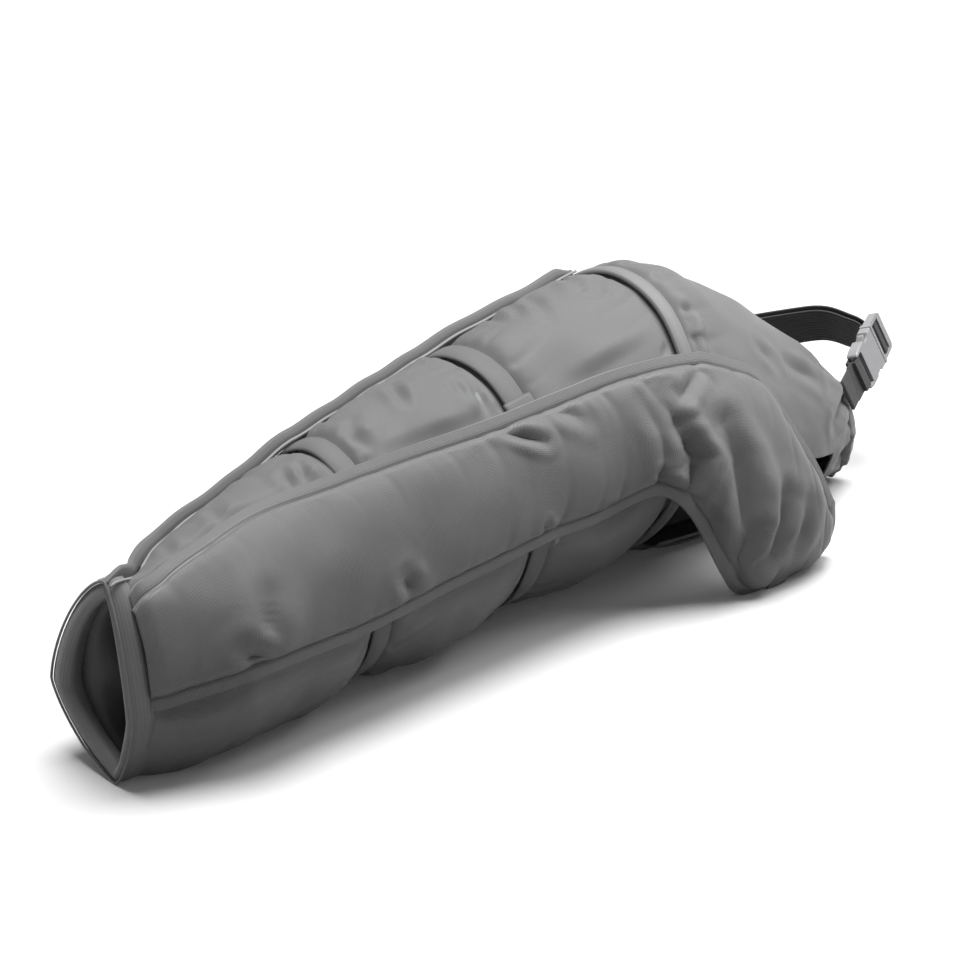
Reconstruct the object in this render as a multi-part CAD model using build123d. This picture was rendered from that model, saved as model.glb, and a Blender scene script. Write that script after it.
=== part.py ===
from build123d import *
from math import cos, copysign, radians, sin, tan
import os

# Inflatable compression sleeve for an arm and shoulder, lying on its underside.
# X runs along the arm from the wrist to the shoulder, -Y is the side with the front flap, +Z is up.

os.makedirs("parts", exist_ok=True)

# ---- driving sizes, in mm ----
shift_x = -36.6                 # brings the middle of the whole part over the origin
shift_y = 14.9

wrist_x = -422.0                # mouth of the sleeve
forearm_strap_x = -192.0        # middle of the lower strap
elbow_strap_x = -19.0           # middle of the upper strap
armhole_x = 132.0               # seam between arm and shoulder, at the floor
shoulder_end_x = 400.0          # far end of the shoulder cap, before the rim is trimmed
cap_drop = 0.61                 # share of its height the cap loses by then
cap_drop_power = 1.3            # how late along the cap it loses it
cap_near_taper = 0.42           # share of its half width the cap loses on the near side
cap_far_taper = 0.05            # and on the far side
cap_floor_square = 0.8          # how much squarer the cap's lower half gets

wrist_half_width = 60.0
wrist_half_height = 78.0
armhole_half_width = 112.0
armhole_half_height = 128.0
arm_fullness = 7.0              # how much fuller than a straight cone the arm is at the lower strap
wrist_mid_y = -48.0             # line of the arm's middle, seen from above
armhole_mid_y = 10.0
armhole_lean = 10.0             # degrees the armhole leans forwards at the top

mouth_flare = 7.0               # how far the mouth opens past the forearm's own taper
mouth_rise = 14.0
mouth_flare_length = 45.0
mouth_square = 0.6              # how much the mouth is drawn towards a lozenge
mouth_lift = 2.2

cover_thick = 2.2               # coated fabric of the covers
bladder_thick = 7.5             # air cell with its welded walls
lining_thick = 1.8
cell_setback = 4.0              # the arm's cells end this far inside their covers' ends
shoulder_cell_low = 65.0        # height the shoulder's cell comes down to
shoulder_cell_back = 25.0       # how far it stays back from the rim
layer_gap = 0.3
half_seam = 0.2                 # half the gap where two covers meet under a strap
land_inset = 5.3                # depth of the welded waist under a strap
crown_inset = 4.0               # how far a chamber's ends draw in
chamber_crown = 15.0            # length over which they draw in

strap_width = 22.0
strap_thick = 2.0
strap_play = 1.0                # beside a strap in its waist
patch_width = 26.0
patch_length = 24.0
patch_thick = 1.4
patch_turn = 43.0               # degrees in front of the crest
band_width = 17.0
band_thick = 3.0

seam_height = 9.0               # top seam flange above the chambers
seam_thick = 4.0
seam_turn = 30.0                # degrees the seam lies behind the crest
seam_turn_length = 90.0         # it turns there from the crest at the mouth
seam_setback = 22.0             # where it starts, from the mouth

flap_gap = 0.6
flap_thick = 4.6
binding_width = 9.0
binding_thick = 1.0
binding_gap = 0.2
chest_bulge = 56.0              # how far the chest panel stands out past the arm
chest_mid_z = 60.0
chest_under = 110.0
chest_start = armhole_x - 100   # the panel spreads out from here
chest_full = armhole_x + 53     # and is at its widest here
chest_end_start = armhole_x + 83
chest_end_length = 130.0
chest_end_taper = 0.32
chest_upper_power = 1.7         # its section: flatter above, squarer below
chest_lower_power = 2.6

binding_depth = 17.0            # how far the wrist binding reaches over the fabric
rim_binding_width = 14.0
tape_thick = 1.3                # binding tape folded over an edge, and its play
tape_gap = 0.4
hem_height = 13.0
hem_low = 3.0
hem_length = 190.0
hem_thick = 1.2
tab_length = 22.0
tab_height = 12.0
tab_thick = 2.0
tab_place = 62.0                # from the armhole

window_length = 215.0           # opening below the arm, along the shoulder
window_top = 112.0
window_knee = 60.0              # its sloping end bends at this height
window_slope = 65.0             # and comes back this far from floor to top
window_toe = 10.0               # and this far from floor to bend
rim_yaw = 30.7                  # degrees the rim plane is turned in plan
rim_near_x = 412.0              # rim on the near side
rim_near_y = -52.0

port_bore_r = 3.0
port_stem_r = 5.5
port_stem_length = 12.0
port_flange_r = 14.0
port_flange_thick = 3.0
port_hole_play = 1.0            # the cover's own hole is this much wider, in radius
port_barb = 1.2
port_barb_length = 4.0
forearm_port_place = 130.0
shoulder_port_place = 78.0

webbing_width = 32.0
webbing_thick = 1.6
belt_seat_x = 290.0             # where the long strand is sewn to the far side of the shoulder
belt_seat_z = 101.0
belt_lie = 0.22                 # how far the strand leans in with the shoulder, sideways for its height
belt_stations = 22
tail_stations = 12              # how far along the belt its loose tail runs
tail_lie = 3.6                  # the tail lies this far off the belt's middle
tail_shift = 3.0                # and this much higher

buckle_width = 42.0
buckle_thick = 11.0
socket_length = 43.0
plug_length = 27.0
buckle_wall = 2.2
flange_length = 3.5
bar_length = 4.5                # crossbars the webbing wraps, along the buckle
slot_length = 5.5
guide_width = 6.0               # middle tongue of the plug
guide_length = 20.0
prong_reach = 24.0              # from the socket's mouth to a prong's tip
prong_arm = 3.0
prong_root_y = 12.0
prong_root_depth = 1.8
window_far = 21.0               # side windows, from the mouth
window_near = 11.0
notch_depth = 4.0
notch_radius = 8.0
buckle_middle = (459.0, -28.0, 108.0)
buckle_along = (0.875, 0.405, 0.266)
buckle_face = (0.31, -0.89, 0.34)


def blend(a, b, t):
    return a + (b - a) * t


def smooth(a, b, x):
    t = min(1.0, max(0.0, (x - a) / (b - a)))
    return t * t * (3 - 2 * t)


# ---- the sleeve's own form: one closed section at each place along the arm ----
class Section:
    """An oval made of four quarters, on a plane that may lean about the floor line."""

    def __init__(self, x, mid_y, near, far, mid_z, top, upper=2.0, lower=2.0, under=None, lift=0.0):
        self.x = x
        self.mid_y = mid_y
        self.near = near
        self.far = far
        self.mid_z = mid_z
        self.top = top
        self.upper = upper
        self.lower = lower
        self.under = mid_z if under is None else under
        self.lift = lift

    def point(self, angle, inset):
        s = sin(angle)
        c = cos(angle)
        power = self.upper if c >= 0 else self.lower
        reach = (self.top - self.mid_z if c >= 0 else self.under) - inset
        half = (self.near if s >= 0 else self.far) - inset
        y = self.mid_y - half * copysign(abs(s) ** (2 / power), s)
        z = self.lift + self.mid_z + reach * copysign(abs(c) ** (2 / power), c)
        return y, z

    def plane(self):
        lean = radians(lean_at(self.x))
        return Plane((self.x, 0, 0), x_dir=(0, 1, 0), z_dir=(cos(lean), 0, -sin(lean)))

    def face(self, inset=0.0, count=12):
        plane = self.plane()
        side = 1.0 if plane.y_dir.Z > 0 else -1.0
        turns = [360 * k / count - seam_turn for k in range(count)]     # from under the top seam, right round
        points = [self.point(radians(turn), inset) for turn in turns]
        places = [plane.from_local_coords((y, side * z, 0)) for y, z in points]
        return Face(Wire([Spline(*places, periodic=True)]))


def lean_at(x):
    return armhole_lean * min(1.0, max(0.0, (x - elbow_strap_x) / (armhole_x - elbow_strap_x)))


def arm_section(x):
    t = (x - wrist_x) / (armhole_x - wrist_x)
    flare = 1 - smooth(wrist_x, wrist_x + mouth_flare_length, x)
    half_width = blend(wrist_half_width, armhole_half_width, t) + mouth_flare * flare
    fullness = arm_fullness * min((x - wrist_x) / (forearm_strap_x - wrist_x),
                                  (armhole_x - x) / (armhole_x - forearm_strap_x))
    half_height = blend(wrist_half_height, armhole_half_height, t) + fullness
    power = 2 - mouth_square * flare
    return Section(x, blend(wrist_mid_y, armhole_mid_y, t), half_width, half_width, half_height,
                   2 * half_height + mouth_rise * flare, upper=power, lower=power,
                   lift=mouth_lift * flare)


def cap_section(x):
    t = max(0.0, (x - armhole_x) / (shoulder_end_x - armhole_x))
    top = 2 * armhole_half_height * (1 - cap_drop * t ** cap_drop_power)
    near = armhole_half_width * (1 - cap_near_taper * t * t)
    far = armhole_half_width * (1 - cap_far_taper * t * t)
    return Section(x, armhole_mid_y, near, far, 0.5 * top, top, lower=2 + cap_floor_square * min(1.0, 2 * t))


def body_section(x):
    return arm_section(x) if x < armhole_x else cap_section(x)


def flap_section(x):
    base = body_section(x)
    s = smooth(chest_start, chest_full, x)
    r = max(0.0, (x - chest_end_start) / chest_end_length)
    near = blend(base.near, (armhole_half_width + chest_bulge) * (1 - chest_end_taper * r * r), s)
    return Section(x, base.mid_y, near, base.far, blend(base.mid_z, chest_mid_z, s), base.top,
                   upper=blend(base.upper, chest_upper_power, s),
                   lower=blend(base.lower, chest_lower_power, s),
                   under=blend(base.under, chest_under, s), lift=base.lift)


def skin(law, places, insets):
    """Solid through the sections of a law, each with its own inset, straight between them."""
    return loft([law(x).face(inset) for x, inset in zip(places, insets)], ruled=True)


def even(start, end, count):
    return [blend(start, end, k / (count - 1)) for k in range(count)]


# ---- top seam flange and the slot it needs ----
def seam_point(x):
    base = body_section(x)
    turn = radians(seam_turn) * smooth(wrist_x, wrist_x + seam_turn_length, x)
    y, z = base.point(-turn, 0)
    return y, z, turn


def seam_strip(low, high, thick, start, end):
    faces = []
    for x in even(start, end, 7):
        y, z, turn = seam_point(x)
        out_y = sin(turn)
        out_z = cos(turn)
        plane = body_section(x).plane()
        side = 1.0 if plane.y_dir.Z > 0 else -1.0
        corners = []
        for reach, half in ((low, -1), (low, 1), (high, 1), (high, -1)):
            corner_y = y + reach * out_y + half * thick / 2 * out_z
            corner_z = z + reach * out_z - half * thick / 2 * out_y
            corners.append(plane.from_local_coords((corner_y, side * corner_z, 0)))
        faces.append(Face(Wire(Polyline(*corners, close=True).edges())))
    return loft(faces)


seam_depth = land_inset + cover_thick
seam_start = wrist_x + seam_setback
seam_end = armhole_x - band_width / 2 - strap_play


def top_seam_binding():
    return seam_strip(-seam_depth, seam_height, seam_thick, seam_start, seam_end)


def seam_slot():
    return seam_strip(-seam_depth - layer_gap, seam_height + 5, seam_thick + 2 * layer_gap,
                      seam_start - layer_gap, seam_end + 0.7)


# ---- chambers: cover, air cell, straps in the waists between them ----
mouth_places = [wrist_x, wrist_x + binding_depth, wrist_x + mouth_flare_length]
half_strap = strap_width / 2 + strap_play
half_band = band_width / 2 + strap_play
chamber_ends = {
    "forearm": (wrist_x, forearm_strap_x - half_strap),
    "elbow": (forearm_strap_x + half_strap, elbow_strap_x - half_strap),
    "upper_arm": (elbow_strap_x + half_strap, armhole_x - half_band),
}


def chamber_places(start, end):
    if start == wrist_x:
        return mouth_places + [blend(start, end, 0.6), end - chamber_crown, end]
    return [start, start + chamber_crown, (start + end) / 2, end - chamber_crown, end]


def chamber_insets(start, extra=0.0):
    drawn_in = [crown_inset / 4 + extra, crown_inset + extra]
    if start == wrist_x:
        return [extra] * 4 + drawn_in
    return drawn_in[::-1] + [extra] + drawn_in


def waist_land(start, end):
    outer = skin(body_section, (start, end), (land_inset, land_inset))
    inner = skin(body_section, (start, end), (land_inset + cover_thick, land_inset + cover_thick))
    return outer - inner


def chamber_cover(name):
    start, end = chamber_ends[name]
    places = chamber_places(start, end)
    outer = skin(body_section, places, chamber_insets(start))
    inner = skin(body_section, places, chamber_insets(start, cover_thick))
    cover = outer - inner
    if start != wrist_x:
        cover += waist_land(start - half_strap + half_seam, start)
    if name == "upper_arm":
        return cover + waist_land(end, armhole_x - half_seam)
    return cover + waist_land(end, end + half_strap - half_seam)


bladder_inset = cover_thick + layer_gap
lining_inset = bladder_inset + bladder_thick + layer_gap


def chamber_bladder(name):
    start, end = chamber_ends[name]
    places = chamber_places(start, end)[-3:]
    insets = chamber_insets(start, bladder_inset)[-3:]
    if start == wrist_x:
        places.insert(0, wrist_x + mouth_flare_length)
        insets.insert(0, bladder_inset)
    else:
        places = chamber_places(start, end)
        insets = chamber_insets(start, bladder_inset)
        places[0] += cell_setback
        insets[0] = blend(insets[0], insets[1], cell_setback / chamber_crown)
    places[-1] -= cell_setback
    insets[-1] = blend(insets[-1], insets[-2], cell_setback / chamber_crown)
    outer = skin(body_section, places, insets)
    inner = skin(body_section, places, [lining_inset - layer_gap] * len(places))
    return outer - inner


def strap_ring(x, width, inner_inset, thick):
    places = (x - width / 2, x, x + width / 2)
    outer = skin(body_section, places, [inner_inset - thick] * 3)
    return outer - skin(body_section, places, [inner_inset] * 3)


def strap_patch():
    """Short doubled tab on the elbow strap, just above the flap's edge."""
    base = land_inset - layer_gap - strap_thick - layer_gap
    ring = strap_ring(elbow_strap_x, strap_width, base, patch_thick)
    y, z = body_section(elbow_strap_x).point(radians(patch_turn), 0)
    block = Box(patch_width, 60, patch_length)
    return ring & (Pos(elbow_strap_x, y, z) * Rot(X=-patch_turn) * block)


# ---- linings ----
def arm_lining():
    places = mouth_places + [forearm_strap_x, elbow_strap_x]
    places += chamber_places(*chamber_ends["upper_arm"]) + [armhole_x - half_seam]
    outer = skin(body_section, places, [lining_inset] * len(places))
    return outer - skin(body_section, places, [lining_inset + lining_thick] * len(places))


# ---- shoulder cap ----
cap_start = armhole_x + half_band
cap_places = [cap_start, cap_start + chamber_crown] + even(cap_start + 50, shoulder_end_x, 5)


def rim_block(back):
    """Everything beyond the rim plane, moved outwards by back."""
    yaw = radians(rim_yaw)
    plane = Plane((rim_near_x, rim_near_y, 0), x_dir=(0, 0, 1), z_dir=(cos(yaw), sin(yaw), 0))
    return plane.offset(back) * Box(900, 900, 300, align=(Align.CENTER, Align.CENTER, Align.MIN))


def armpit_window(low):
    """The opening below the arm, seen under the chest panel."""
    start = armhole_x - 1
    end = armhole_x + window_length
    lean = tan(radians(armhole_lean)) * window_top
    corners = [(start, low), (start + lean, window_top), (end - window_slope, window_top),
               (end - window_toe, window_knee), (end, low)]
    outline = make_face(Plane.XZ * Polyline(*corners, close=True))
    return extrude(Pos(0, armhole_mid_y - 20, 0) * outline, amount=250)


def shoulder_cover():
    """Cap of the shoulder, with the land that the band lies on where it joins the arm."""
    drawn_in = [crown_inset, crown_inset / 4] + [0] * (len(cap_places) - 2)
    outer = skin(cap_section, cap_places, drawn_in)
    inner = skin(cap_section, cap_places, [inset + cover_thick for inset in drawn_in])
    cap = outer - inner + waist_land(armhole_x + half_seam, cap_start)
    return cap - rim_block(0) - armpit_window(hem_height)


def shoulder_lining():
    places = [armhole_x + half_seam] + cap_places
    outer = skin(cap_section, places, [lining_inset] * len(places))
    inner = skin(cap_section, places, [lining_inset + lining_thick] * len(places))
    return outer - inner - rim_block(0) - armpit_window(hem_height)


def shoulder_bladder():
    """Cell over the top of the shoulder only, short of the rim."""
    places = cap_places[1:5]
    insets = [bladder_inset + crown_inset / 4] + [bladder_inset] * 3
    outer = skin(cap_section, places, insets)
    inner = skin(cap_section, places, [lining_inset - 2 * layer_gap] * 4)
    upper_part = Pos(cap_start + 150, 0, shoulder_cell_low + 250) * Box(600, 600, 500)
    return (outer - inner - rim_block(-shoulder_cell_back)) & upper_part


def cap_skin(inset):
    return skin(cap_section, cap_places, [inset] * len(cap_places))


def rim_binding():
    wall = lining_inset + lining_thick
    reach = tape_gap + tape_thick
    tape = cap_skin(-reach) - cap_skin(wall + reach) - rim_block(reach)
    held = cap_skin(-tape_gap) - cap_skin(wall + tape_gap) - rim_block(tape_gap)
    above_floor = Pos(0, 0, 250 + hem_height) * Box(2000, 900, 500)
    return ((tape - held) & rim_block(-rim_binding_width)) & above_floor


def hem_binding():
    height = hem_height - hem_low - 0.5
    strip = Box(hem_length, 300, height, align=(Align.MIN, Align.CENTER, Align.MIN))
    tape = cap_skin(-layer_gap - hem_thick) - cap_skin(-layer_gap)
    return tape & (Pos(cap_start + 6, -150, hem_low) * strip)


# ---- front flap with its chest panel ----
flap_places = mouth_places[1:] + [forearm_strap_x, chest_start, chest_start + 35, chest_start + 70,
                                  armhole_x + half_seam] + cap_places[:-2]
flap_start = wrist_x + 18
# corners of the flap's outline, each with its rounding: seen from the side (x, z), and from above (x, y)
flap_side_corners = [(flap_start, 300, 0), (160, 300, 0), (228, 186, 45), (240, 138, 60), (268, 70, 90),
                     (300, 22, 30), (303, 0, 0), (160, 0, 0), (132, 58, 80), (98, 112, 16), (48, 100, 90),
                     (-153, 91, 900), (-300, 86, 900), (flap_start, 88, 0)]
flap_top_corners = [(flap_start, -58, 0), (-350, -44, 120), (-284, -44, 120), (-137, -62, 500),
                    (69, -78, 500), (190, -92, 200), (420, -150, 0), (420, -400, 0), (flap_start, -400, 0)]


def rounded(corners):
    points = [(a, b) for a, b, rounding in corners]
    return make_face(FilletPolyline(*points, radius=[corner[2] for corner in corners], close=True))


def flap_side():
    """Side view of the flap: a long strip from the wrist that spreads over the chest."""
    return rounded(flap_side_corners)


def flap_top():
    """The same flap from above: its upper edge runs along the arm, in front of the crest."""
    return rounded(flap_top_corners)


def flap_block(edge=0.0):
    """Everything inside the flap's outline, drawn in by edge."""
    side = flap_side()
    top = flap_top()
    if edge:
        side = offset(side, -edge, kind=Kind.INTERSECTION)
        top = offset(top, -edge, kind=Kind.INTERSECTION)
    return extrude(Plane.XZ * side, amount=420) & extrude(top, amount=320)


def flap_skin(low, high):
    outer = skin(flap_section, flap_places, [-high] * len(flap_places))
    inner = skin(flap_section, flap_places, [-low] * len(flap_places))
    return outer - inner


def front_flap():
    return flap_skin(flap_gap, flap_gap + flap_thick) & flap_block()


def flap_binding():
    """Tape lying along the flap's edge, on its outer face."""
    low = flap_gap + flap_thick + binding_gap
    return (flap_skin(low, low + binding_thick) & flap_block()) - flap_block(binding_width)


def wrist_binding():
    """Tape folded over the mouth, round the cover outside and the lining inside."""
    wall = lining_inset + lining_thick
    places = [wrist_x - tape_gap - tape_thick] + mouth_places[:2]
    tape = tape_gap + tape_thick
    outer = skin(arm_section, places, [-tape] * 3) - skin(arm_section, places, [wall + tape] * 3)
    places[0] = wrist_x - tape_gap
    held = skin(arm_section, places, [-tape_gap] * 3) - skin(arm_section, places, [wall + tape_gap] * 3)
    return outer - held


def shoulder_band():
    places = (armhole_x - band_width / 2, armhole_x - half_seam,
              armhole_x + half_seam, armhole_x + band_width / 2)
    inner_inset = land_inset - layer_gap
    outer = skin(body_section, places, [inner_inset - band_thick] * 4)
    return outer - skin(body_section, places, [inner_inset] * 4)


def hem_tab():
    """Small folded tab on the chest panel's hem."""
    low = flap_gap + flap_thick + binding_gap + binding_thick + layer_gap
    piece = Box(tab_length, 200, tab_height, align=(Align.CENTER, Align.CENTER, Align.MIN))
    return flap_skin(low, low + tab_thick) & (Pos(armhole_x + tab_place, -150, 0.2) * piece)


# ---- air inlets on the back, one to each cell ----
port_places = {
    "forearm": wrist_x + forearm_port_place,
    "elbow": (forearm_strap_x + elbow_strap_x) / 2,
    "upper_arm": (elbow_strap_x + armhole_x) / 2,
    "shoulder": armhole_x + shoulder_port_place,
}


def port_point(x):
    base = body_section(x)
    y, z = base.point(radians(-90), 0)
    lean = radians(lean_at(x))
    return Pos(x + z * sin(lean), y, z * cos(lean))


def port_drill(x, radius, depth, rise):
    drill = Cylinder(radius, depth + rise, align=(Align.CENTER, Align.CENTER, Align.MIN))
    return port_point(x) * Rot(X=-90) * Pos(0, 0, -depth) * drill


def air_port(x):
    """Moulded inlet welded on the cover: a flange and a hollow stem with a barb."""
    reach = 3 * port_flange_r
    seat = skin(body_section, even(x - reach, x + reach, 3), [-layer_gap] * 3)
    flange = port_drill(x, port_flange_r, 12, port_flange_thick)
    stem = port_drill(x, port_stem_r, 0, port_stem_length)
    barb = Cone(port_stem_r + port_barb, port_stem_r, port_barb_length,
                align=(Align.CENTER, Align.CENTER, Align.MIN))
    tip = port_point(x) * Rot(X=-90) * Pos(0, 0, port_stem_length - port_barb_length - 1) * barb
    return flange + stem + tip - seat - port_drill(x, port_bore_r, 20, port_stem_length + 5)


def port_hole(x, depth):
    """The way through the cover and into the cell behind an inlet."""
    return port_drill(x, port_bore_r + port_hole_play, depth, 20)


# ---- belt ----
buckle_frame = Plane(buckle_middle, x_dir=buckle_along, z_dir=buckle_face)
half_mouth = (socket_length - plug_length) / 2      # the mouth, from the buckle's middle
socket_back = half_mouth - socket_length
plug_end = half_mouth + plug_length
first_slot = half_mouth + flange_length + 2
middle_bar = first_slot + slot_length
second_slot = middle_bar + bar_length - 1
loop_rise = 4.4


def buckle_point(x, y, z):
    return buckle_frame.from_local_coords((x, y, z))


def buckle_box(x0, x1, y0, y1, z0, z1):
    size = Box(x1 - x0, y1 - y0, z1 - z0, align=(Align.MIN, Align.MIN, Align.MIN))
    return Pos(x0, y0, z0) * size


def strip(stations, width, thick):
    """Webbing through stations of (point, direction of travel, direction of its width)."""
    faces = []
    for point, travel, across in stations:
        across = (across - travel * across.dot(travel)).normalized()
        faces.append((Plane(point, x_dir=across, z_dir=travel) * Rectangle(width, thick)).face())
    return loft(faces, ruled=True)


def belt_strand():
    """Stations of the long strand, from the back of the plug round to the far side of the shoulder."""
    start = buckle_point(middle_bar - webbing_thick / 2 - 0.3, 0, -loop_rise - 2.3)
    points = [start] + [Vector(*p) for p in belt_points]
    line = Spline(*points, tangents=[-buckle_frame.z_dir, (points[-1] - points[-2]).normalized()])
    stations = []
    for t in even(0, 1, belt_stations):
        upright = Vector(0, -belt_lie * t ** 3, 1)
        across = buckle_frame.y_dir * (1 - t) ** 2 + upright * (1 - (1 - t) ** 2)
        stations.append((line @ t, (line % t).normalized(), across))
    return stations


def cap_side(x, z, out):
    """Far side of the cap at a height, out clear of it."""
    base = cap_section(x)
    rise = (z - base.mid_z) / (base.top - base.mid_z + out)
    return base.mid_y + (base.far + out) * (1 - rise * rise) ** 0.5


belt_lift = tape_gap + tape_thick + 2 * layer_gap + webbing_thick / 2
belt_points = [(470.5, -6, 111), (466, 6, 114), (458, 25, 117), (444, 46, 113), (422, 68, 107),
               (388, 88, 103), (350, 106, belt_seat_z),
               (belt_seat_x + 22, cap_side(belt_seat_x + 22, belt_seat_z, belt_lift), belt_seat_z),
               (belt_seat_x, cap_side(belt_seat_x, belt_seat_z, belt_lift), belt_seat_z)]


def belt_long():
    """The long strand, with its end laid on the outside of the shoulder."""
    return strip(belt_strand(), webbing_width, webbing_thick)


def belt_tail():
    """Free end that comes out of the far slot and lies along the outside of the belt."""
    moved = []
    apart = bar_length - 1 + webbing_thick + 0.6
    for k, (point, travel, across) in enumerate(belt_strand()[:tail_stations]):
        outward = travel.cross(across).normalized()
        lead = min(1.0, k / 4)
        aside = outward * blend(apart, tail_lie, lead) + across.normalized() * tail_shift * lead
        moved.append((point + aside, travel, across))
    return strip(moved, webbing_width, webbing_thick)


def belt_loop():
    """The turn of webbing over the plug's middle bar."""
    half = webbing_width / 2
    inner_x = (middle_bar - 0.3, second_slot + 0.3)
    outer_x = (inner_x[0] - webbing_thick, inner_x[1] + webbing_thick)
    outer = buckle_box(*outer_x, -half, half, -loop_rise - 2, loop_rise)
    inner = buckle_box(*inner_x, -half - 1, half + 1, -loop_rise - 3, loop_rise - webbing_thick)
    top_edges = outer.edges().filter_by(Axis.Y).sort_by(Axis.Z)[-2:]
    return buckle_frame * (fillet(top_edges, webbing_thick * 0.9) - inner)


def belt_short():
    """Doubled webbing from the shoulder's rim round the socket's bar."""
    half = webbing_width / 2
    bar_middle = socket_back + bar_length / 2
    turn_r = 0.71 * bar_length + layer_gap
    ring = Cylinder(turn_r + webbing_thick, webbing_width, rotation=(90, 0, 0))
    legs = buckle_box(-9, 0, -half, half, -turn_r - webbing_thick, turn_r + webbing_thick)
    gap = buckle_box(-7, 0, -half - 1, half + 1, -turn_r, turn_r)
    core = Cylinder(turn_r, webbing_width + 2, rotation=(90, 0, 0))
    body = ring + legs - gap - core
    run = buckle_box(-60, -8.5, -half, half, -webbing_thick, webbing_thick)
    clear_of_rim = rim_block(tape_gap + tape_thick + layer_gap)
    return (buckle_frame * Pos(bar_middle, 0, 0) * (body + run)) & clear_of_rim


# ---- side-release buckle ----
def buckle_plan(points, rounding):
    outline = FilletPolyline(*points, radius=rounding, close=True)
    return make_face(outline)


def buckle_socket():
    half = buckle_width / 2
    plan = buckle_plan([(half_mouth, -half), (half_mouth, half), (socket_back + 8, half),
                        (socket_back, half - 2), (socket_back, -half + 2), (socket_back + 8, -half)],
                       [1.5, 1.5, 8, 3, 3, 8])
    shell = extrude(plan, amount=buckle_thick / 2, both=True)
    rims = shell.edges().filter_by(GeomType.LINE).filter_by(Axis.Z, reverse=True)
    shell = chamfer(rims.group_by(Axis.X)[-1] + rims.group_by(Axis.X)[0], 1.0)
    cavity_back = half_mouth - prong_reach - 1.5
    inside_y = half - buckle_wall
    inside_z = buckle_thick / 2 - buckle_wall
    shell -= buckle_box(cavity_back, half_mouth + 1, -inside_y, inside_y, -inside_z, inside_z)
    far = half_mouth - window_far
    near = half_mouth - window_near
    shell -= buckle_box(far, near, -half - 1, half + 1, -inside_z, inside_z)
    notch_x = (far + near) / 2
    for side in (-1, 1):
        notch = Cylinder(notch_radius, buckle_thick + 2)
        shell -= Pos(notch_x, side * (half + notch_radius - notch_depth), 0) * notch
    slot_half = webbing_width / 2 + 0.8
    slot_start = socket_back + bar_length
    slot_end = slot_start + slot_length
    shell -= buckle_box(slot_start, slot_end, -slot_half, slot_half, -buckle_thick, buckle_thick)
    for side in (-1, 1):
        low, high = sorted((side * bar_length / 2, side * (buckle_thick / 2 + 1)))
        shell -= buckle_box(socket_back - 1, slot_start + 0.1, -slot_half, slot_half, low, high)
    return buckle_frame * shell


def buckle_plug():
    half = buckle_width / 2
    start = half_mouth + 0.2
    frame_plan = buckle_plan([(start, -half), (plug_end, -half + 1), (plug_end, half - 1), (start, half)],
                             [1, 5, 5, 1])
    frame = extrude(frame_plan, amount=buckle_thick / 2 - 1.5, both=True)
    frame += buckle_box(start, start + flange_length, -half, half, -buckle_thick / 2, buckle_thick / 2)
    slot_half = webbing_width / 2 + 0.8
    for slot in (first_slot, second_slot):
        frame -= buckle_box(slot, slot + slot_length, -slot_half, slot_half, -buckle_thick, buckle_thick)
    thin = loop_rise - webbing_thick - 0.3
    for side in (-1, 1):
        low, high = sorted((side * thin, side * buckle_thick))
        frame -= buckle_box(middle_bar - 0.1, second_slot + 0.1, -slot_half, slot_half, low, high)
    guide = buckle_box(half_mouth - guide_length, start + 1, -guide_width / 2, guide_width / 2, -2.6, 2.6)
    frame += fillet(guide.edges().filter_by(Axis.Z).sort_by(Axis.X)[:2], 2.4)
    return buckle_frame * frame


def buckle_prong(side):
    """Springy arm with a barbed head that stands in the socket's side window."""
    root_x = half_mouth - prong_root_depth
    low = prong_root_y - prong_arm / 2
    high = prong_root_y + prong_arm / 2
    stop = half_mouth - window_near - 0.3
    outer = buckle_width / 2 - 0.4
    tip = half_mouth - prong_reach
    plan = [(root_x, low), (root_x, high), (stop, high), (stop, outer), (stop - 3, outer + 0.6),
            (tip + 3, prong_root_y + 3.5), (tip, prong_root_y - 1), (tip, prong_root_y - 3.5),
            (stop - 4, low - 0.2)]
    arm = extrude(buckle_plan([(x, side * y) for x, y in plan], [0, 0, 0, 1, 2, 2, 1, 1, 4]),
                  amount=buckle_thick / 2 - buckle_wall - 0.5, both=True)
    root = Cylinder(prong_arm / 2, buckle_thick - 2 * buckle_wall - 1)
    return buckle_frame * (arm + Pos(root_x, side * prong_root_y, 0) * root)


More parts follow.
